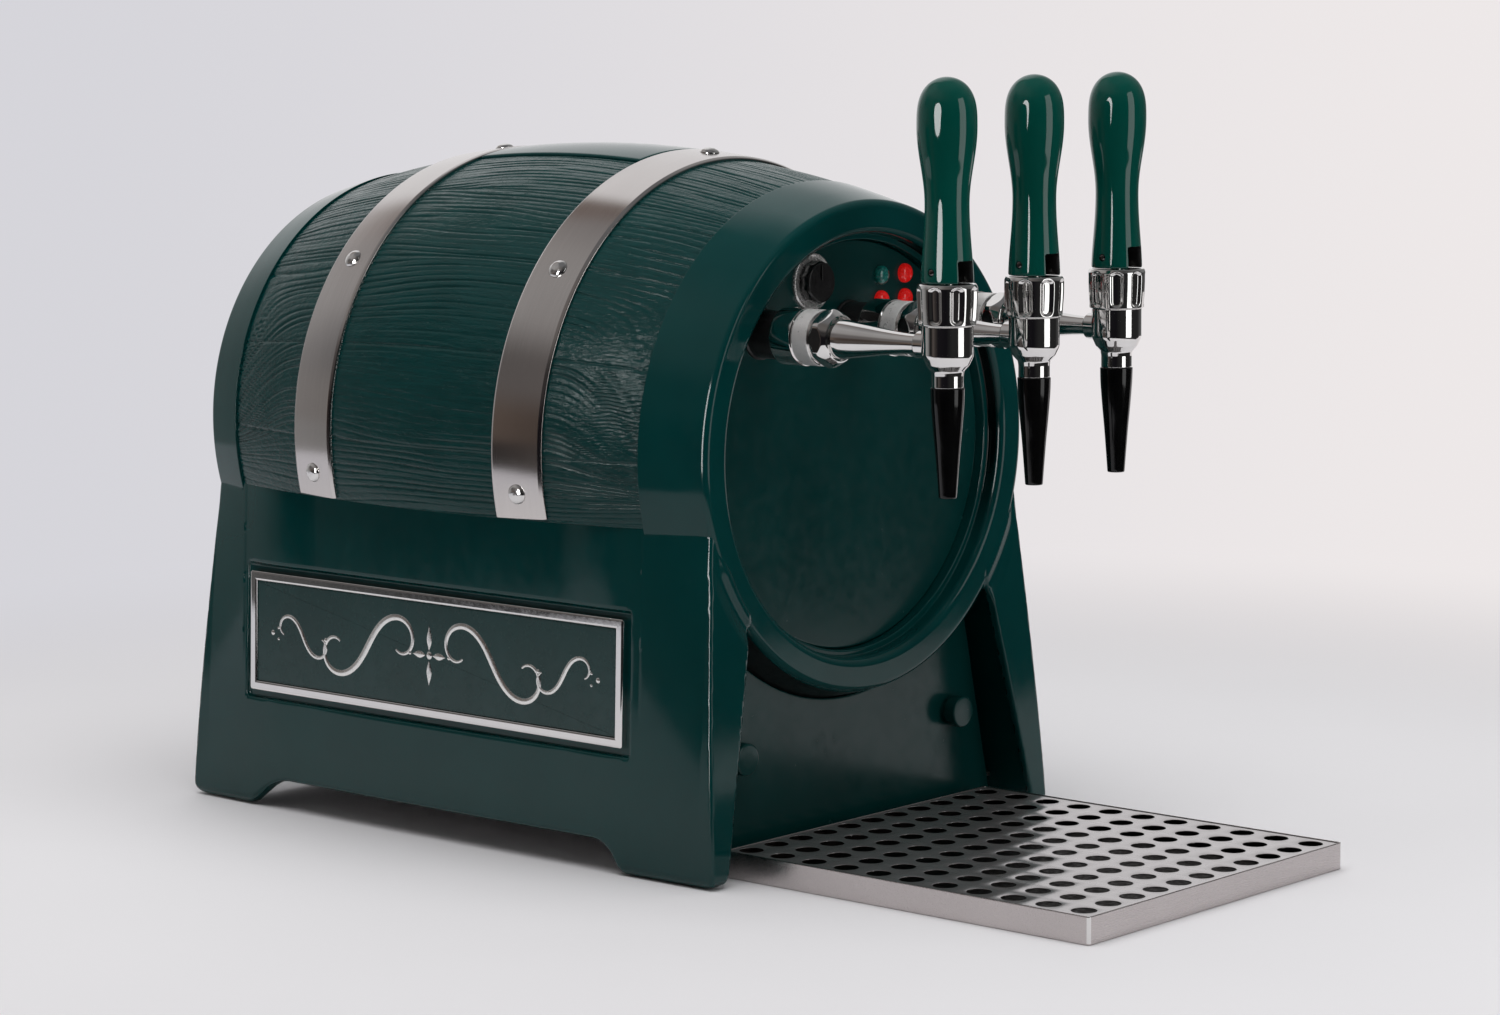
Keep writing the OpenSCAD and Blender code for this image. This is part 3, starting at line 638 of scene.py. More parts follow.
def relief(phi, y):
    """Height of the moulded grain above the stave level, in mm."""
    s = np.radians(phi - 90.0) * 178.0
    z = AXIS_Z + br(y) * np.sin(np.radians(phi))
    side = np.sign(s)
    width = 62.0
    plank = np.floor(s / width + 0.5)
    local = s - plank * width
    seam = width / 2 - np.abs(local) + 0.8 * noise2(plank * 3.1, y / 80.0, 21)
    bell = smooth(222, 262, z) * (1 - smooth(300, 352, z))
    front = np.clip((110.0 - y) / 65.0, 0, 1)
    rear = np.clip((y - 334.0) / 72.0, 0, 1)
    g = s - side * 46.0 * bell * (front ** 2 + rear ** 2)
    n1 = noise2(g / 46.0 + plank * 0.37, y / 170.0, 1)
    n2 = noise2(g / 17.0, y / 70.0 + plank * 1.9, 2)
    ph = g / 4.2 + 1.6 * n1 + 0.5 * n2 + 0.6 * hash01(plank, plank * 0, 9)
    line = np.floor(ph)
    d = np.abs(ph - line - 0.5) * 2.0
    strength = 0.22 + 0.78 * smooth(-0.4, 0.5, noise2(line * 1.7 + 3.0, y / 58.0, 5))
    mid = 1.0 - 0.62 * smooth(246, 268, z) * (1 - smooth(312, 346, z)) * smooth(105, 118, y) * (1 - smooth(328, 340, y))
    out = -0.7 * np.exp(-(d / 0.3) ** 2) * strength * mid * (1 + 0.7 * np.clip(front + rear, 0, 1) * bell)
    out = out + 0.1 * noise2(g / 2.3, y / 34.0, 7) + 0.2 * n1 + 0.1 * noise2(s / 7.0, y / 9.0, 8) * np.clip(front + rear, 0, 1)
    out = out - 0.55 * np.exp(-(seam / 0.8) ** 2)
    return out


def stave_end(y):
    """Angle below the axis, in degrees, at which the staves end on the crease."""
    return np.degrees(np.arcsin((AXIS_Z - WAIST_Z + 0.4) / br(y)))


def housing_staves():
    step = 0.14
    seat, hole = 13.9, 12.0
    s0, s1, h0, h1 = 151.0, 294.0, 157.0, 288.0
    phi = np.concatenate([np.arange(-14.0, 194.0 + 1e-6, step), [194.0, 90 - seat - 0.02, 90 - seat + 0.02, 90 + seat - 0.02, 90 + seat + 0.02, 90 - hole, 90 + hole]])
    phi = np.unique(np.round(phi, 4))
    y = np.concatenate([np.arange(BAND_1 - 1, BAND_2 + 1.01, 2.4), [BAND_2 + 1, s0 - 0.05, s0 + 0.05, h0, h1, s1 - 0.05, s1 + 0.05]])
    y = np.unique(np.round(y, 4))
    yy, pp = np.meshgrid(y, phi, indexing="ij")
    end = stave_end(yy) / 14.0
    pp = np.where(pp < 0, pp * end, np.where(pp > 180, 180 + (pp - 180) * end, pp))
    r = br(yy) - STAVE_DOWN + relief(pp, yy)
    in_seat = (np.abs(pp - 90) < seat) & (yy > s0) & (yy < s1)
    r = np.where(in_seat, br(yy) - 2.7, r)
    a = np.radians(pp)
    pts = np.stack([r * np.cos(a), yy, AXIS_Z + r * np.sin(a)], -1)
    q = grid_faces(len(y), len(phi))
    ci, cj = np.meshgrid((y[:-1] + y[1:]) / 2, (phi[:-1] + phi[1:]) / 2, indexing="ij")
    gone = ((np.abs(cj - 90) < hole) & (ci > h0) & (ci < h1)).ravel()
    sh = Shape()
    sh.add(pts.reshape(-1, 3), q[~gone])
    # underside along the crease, back to the base
    for k, sx in ((0, 1.0), (len(phi) - 1, -1.0)):
        edge = pts[:, k]
        rows = [edge, edge + (-0.5 * sx, 0, -0.35), np.stack([sx * (np.abs(edge[:, 0]) - 3.0), y, edge[:, 2] - 0.4], 1),
                np.stack([sx * np.minimum(np.abs(edge[:, 0]) - 4.0, 152.0), y, edge[:, 2] - 0.4], 1)]
        f = grid_faces(4, len(y))
        sh.add(np.vstack(rows), f if sx > 0 else f[:, ::-1])
    # wall of the filler opening
    e1 = phi[(phi >= 90 - hole) & (phi <= 90 + hole)]
    e2 = y[(y >= h0) & (y <= h1)]
    loop = [(h0, p) for p in e1] + [(v, e1[-1]) for v in e2[1:]] + [(h1, p) for p in e1[::-1][1:]] + [(v, e1[0]) for v in e2[::-1][1:-1]]
    loop = np.array(loop)
    rows = []
    for off in (2.7, 3.0, 5.4, 5.7):
        rr = br(loop[:, 0]) - off
        aa = np.radians(loop[:, 1])
        rows.append(np.stack([rr * np.cos(aa), loop[:, 0], AXIS_Z + rr * np.sin(aa)], -1))
    sh.add(np.vstack(rows), grid_faces(len(rows), len(loop), wrap_v=True))
    # inner face of the shell round the opening
    ring = []
    for grow in (0.0, 25.0):
        l2 = loop.copy()
        l2[:, 0] += np.where(l2[:, 0] > h1 - 0.1, grow, np.where(l2[:, 0] < h0 + 0.1, -grow, 0))
        l2[:, 1] += np.where(l2[:, 1] > e1[-1] - 1e-3, grow / 3.1, np.where(l2[:, 1] < e1[0] + 1e-3, -grow / 3.1, 0))
        rr = br(l2[:, 0]) - 5.7
        aa = np.radians(l2[:, 1])
        ring.append(np.stack([rr * np.cos(aa), l2[:, 0], AXIS_Z + rr * np.sin(aa)], -1))
    sh.add(np.vstack(ring), grid_faces(2, len(loop), wrap_v=True))
    return sh


make("housing_staves", housing_staves(), M_STAVE, nodes=("housing",), angle=180, fix=False)


# ---------------------------------------------------------------- housing: base

def r_and(a, b, r):
    u, v = np.maximum(r + a, 0), np.maximum(r + b, 0)
    return np.minimum(-r, np.maximum(a, b)) + np.sqrt(u * u + v * v)


def r_or(a, b, r):
    u, v = np.maximum(r - a, 0), np.maximum(r - b, 0)
    return np.maximum(r, np.minimum(a, b)) - np.sqrt(u * u + v * v)


def waist_w(y):
    return np.sqrt(br(np.clip(y, 0, LENGTH)) ** 2 - (AXIS_Z - WAIST_Z) ** 2)


def base_field(x, y, z):
    """Signed distance, about, of the base with its four legs; x is taken on the right side."""
    x = np.abs(x)
    zt = np.clip(z / WAIST_Z, 0, 1)
    b = zt ** 1.4
    floor_w = 162.0 + 3.6 * (1 - ((y - 220.0) / 232.0) ** 2)
    ww = waist_w(y) - 0.6
    mid = smooth(40, 115, y) * (1 - smooth(330, 400, y))
    w = mix(b * ww + (1 - b) * floor_w, floor_w - 0.026 * z, mid)
    slope = mix(1.4 * zt ** 0.4 / WAIST_Z * (ww - floor_w), -0.026, mid)
    # a low step carries the barrel's end bands down the legs
    band = smooth(46.2, 47.4, y) * (1 - smooth(402.6, 403.8, y))
    w = w - 0.8 * band * smooth(85, 130, z)
    side = (x - w) / np.sqrt(1 + slope ** 2)
    rho = np.sqrt(x * x + (z - AXIS_Z) ** 2)
    fy, ry = mix(-13.0, 1.2, zt), LENGTH + mix(15.0, -1.2, zt)
    # the leg's face runs level into the ring
    near = 1 - smooth(149, 163, rho)
    fy = fy + near * np.maximum(0.7 - fy, 0)
    ry = ry + near * np.minimum(LENGTH - 0.7 - ry, 0)
    front = (fy - y) * 0.9968
    rear = (y - ry) * 0.996
    body = r_and(r_and(front, -z, 10.0), r_and(rear, -z, 10.0), 1.0)
    body = r_and(r_and(side, -z, 7.0), body, 2.0)
    # gaps between the legs
    gw = 148.5 - 36.5 * (z + 1) / 166.0
    gx = (x - gw) * 0.977
    gap = np.minimum(np.maximum(gx, y - 25.1), np.maximum(gx, 414.9 - y))
    gap = np.maximum(gap, z - 175.0)
    body = r_and(body, -gap, 1.6)
    # hollow inside
    hw = 153.0 - 12.0 * (z + 1) / 216.0
    ht = (z + 1) / 218.0
    hollow = np.maximum(np.maximum(x - hw, mix(-9.0, 9.0, ht) - y), np.maximum(y - mix(451.0, 431.0, ht), z - 230.0))
    body = np.maximum(body, -hollow)
    # arch between the feet
    n1 = np.hypot(20.0, 14.0)
    n2 = np.hypot(20.0, 27.0)
    arch = r_and(r_and((20.0 * (61.0 - y) + 14.0 * z) / n1, (20.0 * (y - 398.0) + 27.0 * z) / n2, 1.0), z - 20.0, 8.0)
    body = r_and(body, -arch, 2.5)
    # shallow seat of the side plate
    lo = (x - 160.5) * math.cos(LEAN) + (z - 116.5) * math.sin(LEAN)
    lu = -(x - 160.5) * math.sin(LEAN) + (z - 116.5) * math.cos(LEAN)
    seat = r_and(r_and(np.abs(y - 226.5) - 172.0, np.abs(lu) - 44.0, 2.0), -(lo + 3.2), 0.8)
    body = r_and(body, -seat, 1.6)
    # legs join the rings
    ring = np.maximum(ring_field(rho, y), np.minimum(y - BAND_1 + 1.0, BAND_2 + 1.0 - y))
    body = r_and(body, 147.0 - rho, 2.0)
    both = r_or(body, ring + 0.5, mix(6.0, 1.2, np.maximum(smooth(5.0, 14.0, np.minimum(y, LENGTH - y)), smooth(184.0, 203.0, z))))
    ends = np.minimum(y - 31.0, 409.0 - y)
    both = np.maximum(both, np.minimum(138.5 - rho, -ends))
    return np.maximum(np.maximum(both, z - 216.0), 100.0 - x)


def ring_field(rho, y):
    yc = np.clip(y, 0, LENGTH)
    sl = br_slope(yc)
    skin = (rho - br(yc) - SKIN_UP) / np.sqrt(1 + sl * sl)
    return r_and(skin, np.maximum(-y, y - LENGTH), 4.8)


def nets(field, lo, hi, h):
    """Smooth mesh of field = 0 in the box, with normals from the field."""
    axes = [np.arange(a, b + h, h) for a, b in zip(lo, hi)]
    X, Y, Z = np.meshgrid(*axes, indexing="ij")
    f = np.empty(X.shape)
    for i in range(0, X.shape[0], 8):
        f[i:i + 8] = field(X[i:i + 8], Y[i:i + 8], Z[i:i + 8])
    ins = (f < 0)
    nx, ny, nz = f.shape
    cnt = np.zeros((nx - 1, ny - 1, nz - 1), np.uint8)
    corners = [(i, j, k) for i in (0, 1) for j in (0, 1) for k in (0, 1)]
    for i, j, k in corners:
        cnt += ins[i:nx - 1 + i, j:ny - 1 + j, k:nz - 1 + k]
    act = np.argwhere((cnt > 0) & (cnt < 8))
    ids = np.full(cnt.shape, -1, np.int64)
    ids[act[:, 0], act[:, 1], act[:, 2]] = np.arange(len(act))
    val = np.stack([f[act[:, 0] + i, act[:, 1] + j, act[:, 2] + k] for i, j, k in corners], 1)
    tot, num = np.zeros((len(act), 3)), np.zeros(len(act))
    for a in range(8):
        for b in range(a + 1, 8):
            ca, cb = np.array(corners[a]), np.array(corners[b])
            if np.abs(ca - cb).sum() != 1:
                continue
            fa, fb = val[:, a], val[:, b]
            m = (fa < 0) != (fb < 0)
            t = np.where(m, fa / np.where(m, fa - fb, 1.0), 0.0)
            tot += np.where(m[:, None], ca + t[:, None] * (cb - ca), 0.0)
            num += m
    p = (act + tot / num[:, None]) * h + np.array([axes[0][0], axes[1][0], axes[2][0]])
    quads = []
    for ax in range(3):
        sl0 = [slice(None)] * 3
        sl1 = [slice(None)] * 3
        sl0[ax], sl1[ax] = slice(0, -1), slice(1, None)
        ch = ins[tuple(sl0)] != ins[tuple(sl1)]
        e = np.argwhere(ch)
        u, v = [(1, 2), (2, 0), (0, 1)][ax]
        ok = (e[:, u] > 0) & (e[:, v] > 0) & (e[:, u] < f.shape[u] - 1) & (e[:, v] < f.shape[v] - 1)
        e = e[ok]
        cells = []
        for du, dv in ((1, 1), (0, 1), (0, 0), (1, 0)):
            c = e.copy()
            c[:, u] -= du
            c[:, v] -= dv
            cells.append(ids[c[:, 0], c[:, 1], c[:, 2]])
        q = np.stack(cells, 1)
        flip = ~ins[e[:, 0], e[:, 1], e[:, 2]]
        q[flip] = q[flip][:, ::-1]
        quads.append(q[(q >= 0).all(1)])
    q = np.vstack(quads)

    def grad(p, e=0.25):
        g = np.empty_like(p)
        for i in range(3):
            d = np.zeros(3)
            d[i] = e
            g[:, i] = (field(*(p + d).T) - field(*(p - d).T)) / (2 * e)
        return g

    start = p.copy()
    for _ in range(4):
        g = grad(p)
        move = -(field(*p.T) / np.maximum((g * g).sum(1), 0.2))[:, None] * g
        ln = np.linalg.norm(move, axis=1)[:, None]
        p = p + move * np.minimum(1.0, 0.5 * h / np.maximum(ln, 1e-9))
        off = p - start
        ln = np.linalg.norm(off, axis=1)[:, None]
        p = start + off * np.minimum(1.0, 0.9 * h / np.maximum(ln, 1e-9))
    g = grad(p, 0.35)
    return p, q, g / np.maximum(np.linalg.norm(g, axis=1), 1e-6)[:, None]


def housing_base():
    h = 1.8
    p, q, n = nets(base_field, (98.0, -16.0, -3.0), (184.0, 460.0, 220.0), h)
    pm, nm = p * (-1, 1, 1), n * (-1, 1, 1)
    sh = Shape()
    sh.add(p, q)
    sh.add(pm, q[:, ::-1])
    return sh, np.vstack([n, nm])


BASE_SHAPE, BASE_N = housing_base()
make("housing_base", BASE_SHAPE, M_SHELL, nodes=("housing",), fix=False, normals=BASE_N)


# ---------------------------------------------------------------- hoops, rivets, lid

def strap(y0, y1):
    """One hoop: a strap with rolled edges that sit on the staves."""
    prof = [(br(y0) - 1.9, y0 + 0.5), (br(y0) + 0.7, y0, 0.9)] + [(br(y) + 1.65, y) for y in np.linspace(y0 + 2.2, y1 - 2.2, 12)] + [(br(y1) + 0.7, y1, 0.9), (br(y1) - 1.9, y1 - 0.5)]
    p = rounded(prof, 5, 0.3)
    n = 420
    edge = math.degrees(math.asin(36.8 / br((y0 + y1) / 2)))
    phi = np.radians(np.linspace(-edge, 180 + edge, n))
    r, t = p[:, 0][:, None], p[:, 1][:, None]
    pts = np.stack([r * np.cos(phi), t * np.ones_like(phi), AXIS_Z + r * np.sin(phi)], -1)
    sh = Shape()
    rows = np.arange(len(p)) * n
    sh.add(pts.reshape(-1, 3), grid_faces(len(p), n), rows[::-1][None, :], (rows + n - 1)[None, :])
    length = np.concatenate([[0], np.cumsum(np.linalg.norm(np.diff(p, axis=0), axis=1))])
    uv = np.stack(np.broadcast_arrays(length[:, None] / 50.0, (phi * 170.0 / 50.0)[None, :]), -1).reshape(-1, 2)
    return sh, uv


for k, (y0, node) in enumerate(zip(HOOPS, ("front_hoop", "rear_hoop"))):
    sh, uv = strap(y0, y0 + HOOP_W)
    make(f"hoop_{k + 1}", sh, M_HOOP, nodes=(node,), fix=False, angle=60, uv=uv)

rivets = Shape()
dome = turn(rounded([(0, 3.15), (2.8, 2.85, 5), (5.1, 1.75, 3.5), (6.2, 0.4, 0.6), (6.2, -0.9)], 6, 0.2), "z", seg=48)
for y0 in HOOPS:
    yc = y0 + HOOP_W / 2
    for a in RIVETS:
        ar = math.radians(a)
        nrm = Vector((math.cos(ar), -br_slope(yc), math.sin(ar))).normalized()
        rot = np.array(nrm.to_track_quat("Z", "Y").to_matrix())
        rad = br(yc) + 1.65
        c = np.array([rad * math.cos(ar), yc, AXIS_Z + rad * math.sin(ar)])
        rivets.join(dome, fn=lambda p, rot=rot, c=c: p @ rot.T + c)
make("hoop_rivets_domes", rivets, M_RIVET, nodes=("hoop_rivets",))


def lid():
    """Smooth crowned panel that lies in its seat on top of the barrel."""
    half, y0, y1 = 13.62, 151.6, 293.4
    es = [0.0, 0.0, 0.12, 0.45, 0.95, 1.5, 2.2, 3.2]
    drop = [2.6, 1.6, 1.0, 0.52, 0.2, 0.05, 0.0, 0.0]
    inner_y = np.linspace(y0 + 4, y1 - 4, 60)
    inner_s = np.linspace(-half + 4 / 3.1, half - 4 / 3.1, 36)
    ys = np.concatenate([[y0 + e for e in es], inner_y, [y1 - e for e in es[::-1]]])
    dy = np.concatenate([drop, np.zeros(60), drop[::-1]])
    ss = np.concatenate([[-half + e / 3.1 for e in es], inner_s, [half - e / 3.1 for e in es[::-1]]])
    ds = np.concatenate([drop, np.zeros(36), drop[::-1]])
    off = 0.9 - np.maximum(dy[:, None], ds[None, :])
    crown = 0.35 * (1 - (ss[None, :] / half) ** 2) * np.ones((len(ys), 1))
    r = br(ys)[:, None] + off + np.where(off > 0.4, crown, 0)
    a = np.radians(90 + ss)[None, :]
    pts = np.stack([r * np.cos(a), ys[:, None] * np.ones_like(a), AXIS_Z + r * np.sin(a)], -1)
    sh = Shape()
    sh.add(pts.reshape(-1, 3), grid_faces(len(ys), len(ss)))
    # underside
    yu = np.linspace(y0, y1, 30)
    su = np.linspace(-half, half, 16)
    au = np.radians(90 + su)[None, :]
    rb = br(yu)[:, None] - 1.75 + 0 * su[None, :]
    sh.add(np.stack([rb * np.cos(au), yu[:, None] * np.ones_like(au), AXIS_Z + rb * np.sin(au)], -1).reshape(-1, 3), grid_faces(30, 16)[:, ::-1])
    return sh


make("top_lid_panel", lid(), M_SHELL, body="lid", nodes=("top_lid",), angle=70, fix=False)


# ---------------------------------------------------------------- panels

make("front_panel_disc", turn(rounded([(0, 17.5), (60, 17.5), (110, 17.5), (126.2, 17.5, 1.3), (126.2, 21.5), (0, 21.5)], 6, 0.5), "y", (0, 0, AXIS_Z), 192),
     M_PANEL, nodes=("front_panel",))


def plinth_outline(gap):
    rr = br(25) + gap
    side = [(146.2 - 31.6 * (z - 6) / 144.0, z) for z in np.linspace(6, 150, 60)]
    side = [p for p in side if (p[0] ** 2 + (p[1] - AXIS_Z) ** 2) > rr * rr]
    x1 = side[-1][0] - 0.4
    arc = [(x, AXIS_Z - math.sqrt(rr * rr - x * x)) for x in np.linspace(x1, -x1, 90)]
    left = [(-x, z) for x, z in side[::-1]]
    bottom = [(x, 6.0) for x in np.linspace(-146.2, 146.2, 50)[1:-1]]
    return np.array(side + arc + left + bottom)


make("plinth_panel_plate", slab(plinth_outline(0.8), 1.0, 3.0, lambda a, b, d: np.stack([a, 22.0 + d, b], 1)), M_PANEL, nodes=("plinth_panel",))
make("rear_plinth_plate", slab(plinth_outline(0.5), 1.0, 3.0, lambda a, b, d: np.stack([-a, 418.0 - d, b], 1)), M_PANEL, nodes=("rear_plinth_panel",))

knobs = Shape()
cap = turn(rounded([(0, 10.0), (5.0, 10.05, 10), (10.0, 10.3, 1.3), (10.0, 18.6, 0.5), (9.4, 19.0, 0.3), (7.0, 19.0, 0.4), (7.0, 22.2), (0, 22.2)], 6, 0.3), "y", seg=72)
for x in (-104.0, 104.0):
    knobs.join(cap, (x, 0, 68.0))
make("plinth_knob_caps", knobs, M_PANEL, nodes=("plinth_knobs",))


# ---------------------------------------------------------------- side plates

def on_side(s):
    """Places (along, up, out) on the side plate's plane, s = -1 on the left."""
    def f(p):
        out, up = p[:, 2], p[:, 1]
        x = 160.5 + out * math.cos(LEAN) - up * math.sin(LEAN)
        z = 116.5 + out * math.sin(LEAN) + up * math.cos(LEAN)
        return np.stack([s * x, 226.5 - s * -1 * p[:, 0] * -1, z], 1)
    return f


def frame_bar():
    prof = rounded([(0.0, -3.0), (0.0, 0.9, 1.1), (1.2, 1.25, 0.8), (4.8, 1.25, 0.8), (6.0, 0.8, 1.0), (6.0, -2.0)], 5, 0.2)
    loops = []
    n = 7
    for ins, o in prof:
        w, h = 334.0 - 2 * ins, 78.0 - 2 * ins
        r = max(1.6 - ins, 0.02)
        rect = round_rect(w, h, r, n)
        loops.append(np.column_stack([rect, np.full(len(rect), o)]))
    m = len(loops[0])
    sh = Shape()
    sh.add(np.vstack(loops), grid_faces(len(loops), m, wrap_v=True))
    return sh


def scroll(turns, taper, n=260):
    """A double spiral drawn with a broad pen; returns centre line and half widths, spanning -1 to 1."""
    t = np.linspace(-1, 1, n)
    th = turns * math.pi * t * t
    dx, dy = np.cos(th), np.sin(th)
    x = np.concatenate([[0], np.cumsum((dx[1:] + dx[:-1]) / 2)]) * (2.0 / (n - 1))
    y = np.concatenate([[0], np.cumsum((dy[1:] + dy[:-1]) / 2)]) * (2.0 / (n - 1))
    x -= x[n // 2]
    y -= y[n // 2]
    tilt = math.atan2(y[-1] - y[0], x[-1] - x[0])
    c, s = math.cos(-tilt), math.sin(-tilt)
    x, y = c * x - s * y, s * x + c * y
    k = max(abs(x.max()), abs(x.min()))
    return np.stack([x, y], 1) / k, np.clip(1 - np.abs(t) ** 1.4, 0, 1) ** 0.8 * (1 - taper) + taper


def ribbon(line, half, lift):
    d = np.gradient(line, axis=0)
    d /= np.linalg.norm(d, axis=1)[:, None]
    nrm = np.stack([-d[:, 1], d[:, 0]], 1)
    rows = []
    for k, o in ((-1.0, 0.0), (-0.8, lift), (0.0, lift + 0.12), (0.8, lift), (1.0, 0.0)):
        rows.append(np.column_stack([line + nrm * (half * k)[:, None], np.full(len(line), o)]))
    sh = Shape()
    sh.add(np.vstack(rows), grid_faces(len(rows), len(line)))
    return sh


def ornament():
    sh = Shape()
    line, w = scroll(1.55, 0.14)
    small, ws = scroll(1.25, 0.16)
    for m in (-1, 1):
        flip = np.array([m, 1.0])
        big = line * (41.0, 41.0)
        sh.join(ribbon((big + (56.0, 0.5)) * flip, 0.45 + 1.9 * w, 0.22))
        sm = small * (22.0, -22.0)
        sh.join(ribbon((sm + (117.0, 0.0)) * flip, 0.35 + 1.25 * ws, 0.26))
        for cx, cy, r in ((146.0, 0.0, 1.7), (140.5, 3.6, 1.0), (140.5, -3.6, 1.0), (95.5, 0.0, 1.5), (17.5, 0.0, 1.3)):
            dot = turn(rounded([(0, 0.55), (0.7 * r, 0.45, 2), (r, 0.0)], 4, 0.1), "z", seg=28)
            sh.join(dot, (m * cx, cy, 0.0))
    # a lozenge with four leaves in the middle
    for a in range(4):
        ang = math.radians(90 * a)
        t = np.linspace(0, 1, 40)
        leaf = np.stack([3.2 + (11.5 if a % 2 == 0 else 15.5) * t, np.zeros_like(t)], 1)
        c, s = math.cos(ang), math.sin(ang)
        leaf = leaf @ np.array([[c, s], [-s, c]])
        sh.join(ribbon(leaf, 0.12 + 2.5 * np.sin(math.pi * t) ** 1.2 * (1 - 0.35 * t), 0.2))
    sh.join(turn(rounded([(0, 0.7), (1.6, 0.6, 3), (2.5, 0.0)], 4, 0.1), "z", seg=32))
    return sh


frames, plates, orn = Shape(), Shape(), Shape()
bar, scr = frame_bar(), ornament()
flat = slab(round_rect(321.6, 65.6, 0.6, 2), 0.4, 2.0, lambda a, b, d: np.stack([a, b, -d], 1), 3)
for s in (-1, 1):
    frames.join(bar, fn=on_side(s))
    plates.join(flat, fn=on_side(s))
    orn.join(scr, fn=on_side(s))
make("plate_frames_chrome", frames, M_CHROME, nodes=("plate_frames",))
make("side_plates_green", plates, M_PLATE, nodes=("side_plates",))
make("side_plate_scrolls", orn, M_SILVER)


# ---------------------------------------------------------------- controls

KX, KZ = -35.5, 351.5
make("thermostat_bezel_ring", turn(rounded([(8.3, 17.5), (17.6, 17.5), (17.6, 15.9, 0.5), (16.7, 15.1, 0.6), (15.0, 15.8, 0.5), (8.3, 15.9)], 5, 0.2), "y", (KX, 0, KZ), 96),
     M_BEZEL, nodes=("thermostat_bezel",))


def knob_r(r, t, phi):
    """Ten soft flats round the grip."""
    d = (phi + math.pi / 10) % (math.pi / 5) - math.pi / 10
    return np.minimum(r, np.where(r > 9.0, 12.5 / np.cos(d) - 0.12 * np.cos(10 * phi) ** 2, r))


kn = turn(soft_rows(rounded([(0, 8.5), (6, 8.45, 12), (11.7, 8.3, 1.0), (13.0, 9.9, 0.9), (13.0, 14.7, 0.4), (12.6, 15.1, 0.3), (3, 15.1)], 6, 0.5), 0.8), "y", (KX, 0, KZ), 240, shape_r=knob_r)
make("thermostat_knob_grip", kn, M_KNOB, body="knob", nodes=("thermostat_knob",))
mark = slab(round_rect(1.9, 9.6, 0.85, 5), 0.4, 1.4, lambda a, b, d: np.stack([KX + a, 7.5 + d, KZ + 6.0 + b], 1), 4)
make("thermostat_knob_pointer", mark, M_KNOB, body="knob", nodes=("thermostat_knob",))


def lens_shape(x, z):
    arc = [(6.0 * math.cos(a) ** 0.9, 16.4 - 3.6 * math.sin(a)) for a in np.linspace(0, math.pi / 2 - 1e-4, 16)]
    arc[-1] = (0.0, arc[-1][1])
    return turn(np.array([(0, 17.5), (6.0, 17.5)] + arc), "y", (x, 0, z), 48)


red = Shape()
for x, z in ((53.5, 352.0), (30.5, 336.5), (53.5, 336.5)):
    red.join(lens_shape(x, z))
make("lamp_domes_red", red, M_RED, nodes=("lamp_lenses_red",))
make("lamp_dome_green", lens_shape(30.5, 352.0), M_TEAL, nodes=("lamp_lens_green",))


# ---------------------------------------------------------------- taps

def handle_profile():
    pts = [(0, 0), (14.4, 0), (14.95, 0.16), (15.25, 0.7)]
    for t in np.linspace(0.012, 0.75, 64):
        if t < 0.38:
            r = mix(15.3, 12.9, math.sin(math.pi / 2 * t / 0.38) ** 1.6)
        else:
            r = mix(12.9, 17.5, (1 - math.cos(math.pi * (t - 0.38) / 0.38)) / 2)
        pts.append((r, t * HANDLE_H))
    for a in np.linspace(0.0, math.pi / 2, 30):
        u = math.sin(a)
        pts.append((17.5 * math.sqrt(max(0.0, 1 - u ** 3)), (0.76 + 0.24 * u) * HANDLE_H))
    pts[-1] = (0.0, HANDLE_H)
    return np.array(pts)


def box_shape(x0, x1, y0, y1, z0, z1):
    c = np.array([(x, y, z) for x in (x0, x1) for y in (y0, y1) for z in (z0, z1)], float)
    sh = Shape()
    sh.add(c, np.array([(0, 1, 3, 2), (4, 6, 7, 5), (0, 4, 5, 1), (2, 3, 7, 6), (0, 2, 6, 4), (1, 5, 7, 3)]))
    return sh


def slot_cutter():
    """Slot with a rounded top, cut through the handle's foot from front to back."""
    out = [(-6.8, -2), (6.8, -2), (6.8, 11.6)] + [(5.4 + 1.4 * math.cos(a), 11.6 + 1.4 * math.sin(a)) for a in np.linspace(0.2, math.pi / 2, 6)]
    out += [(-x, z) for x, z in out[::-1] if z > 10.0]
    o = np.array(out)
    n = len(o)
    sh = Shape()
    pts = np.vstack([np.column_stack([o[:, 0], np.full(n, y), o[:, 1]]) for y in (-30.0, 30.0)])
    sh.add(pts, grid_faces(2, n, wrap_v=True), np.arange(n)[None, :], (np.arange(n) + n)[::-1][None, :])
    return sh


def tap_handle():
    h = make("handle_blank", turn(handle_profile(), "z", seg=96), M_HANDLE, body=None)
    c1 = make("slot_cut", slot_cutter(), M_HANDLE, body=None)
    cut(h, c1)
    c2 = make("pin_cut", turn(np.array([(0, -30.0), (2.3, -30), (2.3, 30), (0, 30)]), "x", (0, 0, 6.5), 32), M_HANDLE, body=None)
    cut(h, c2, 0.25)
    # painted shade: the walls inside the slot take the black material
    h.data.materials.append(M_BLACK)
    for poly in h.data.polygons:
        c = poly.center * 1000.0 - Vector((0, SHIFT, 0))
        if abs(c.x) < 6.9 and c.z < 13.2 and (abs(poly.normal.x) > 0.8 or poly.normal.z < -0.2) and math.hypot(c.x, c.y) < 15.0 and c.z > 0.3:
            poly.material_index = 1
    return h


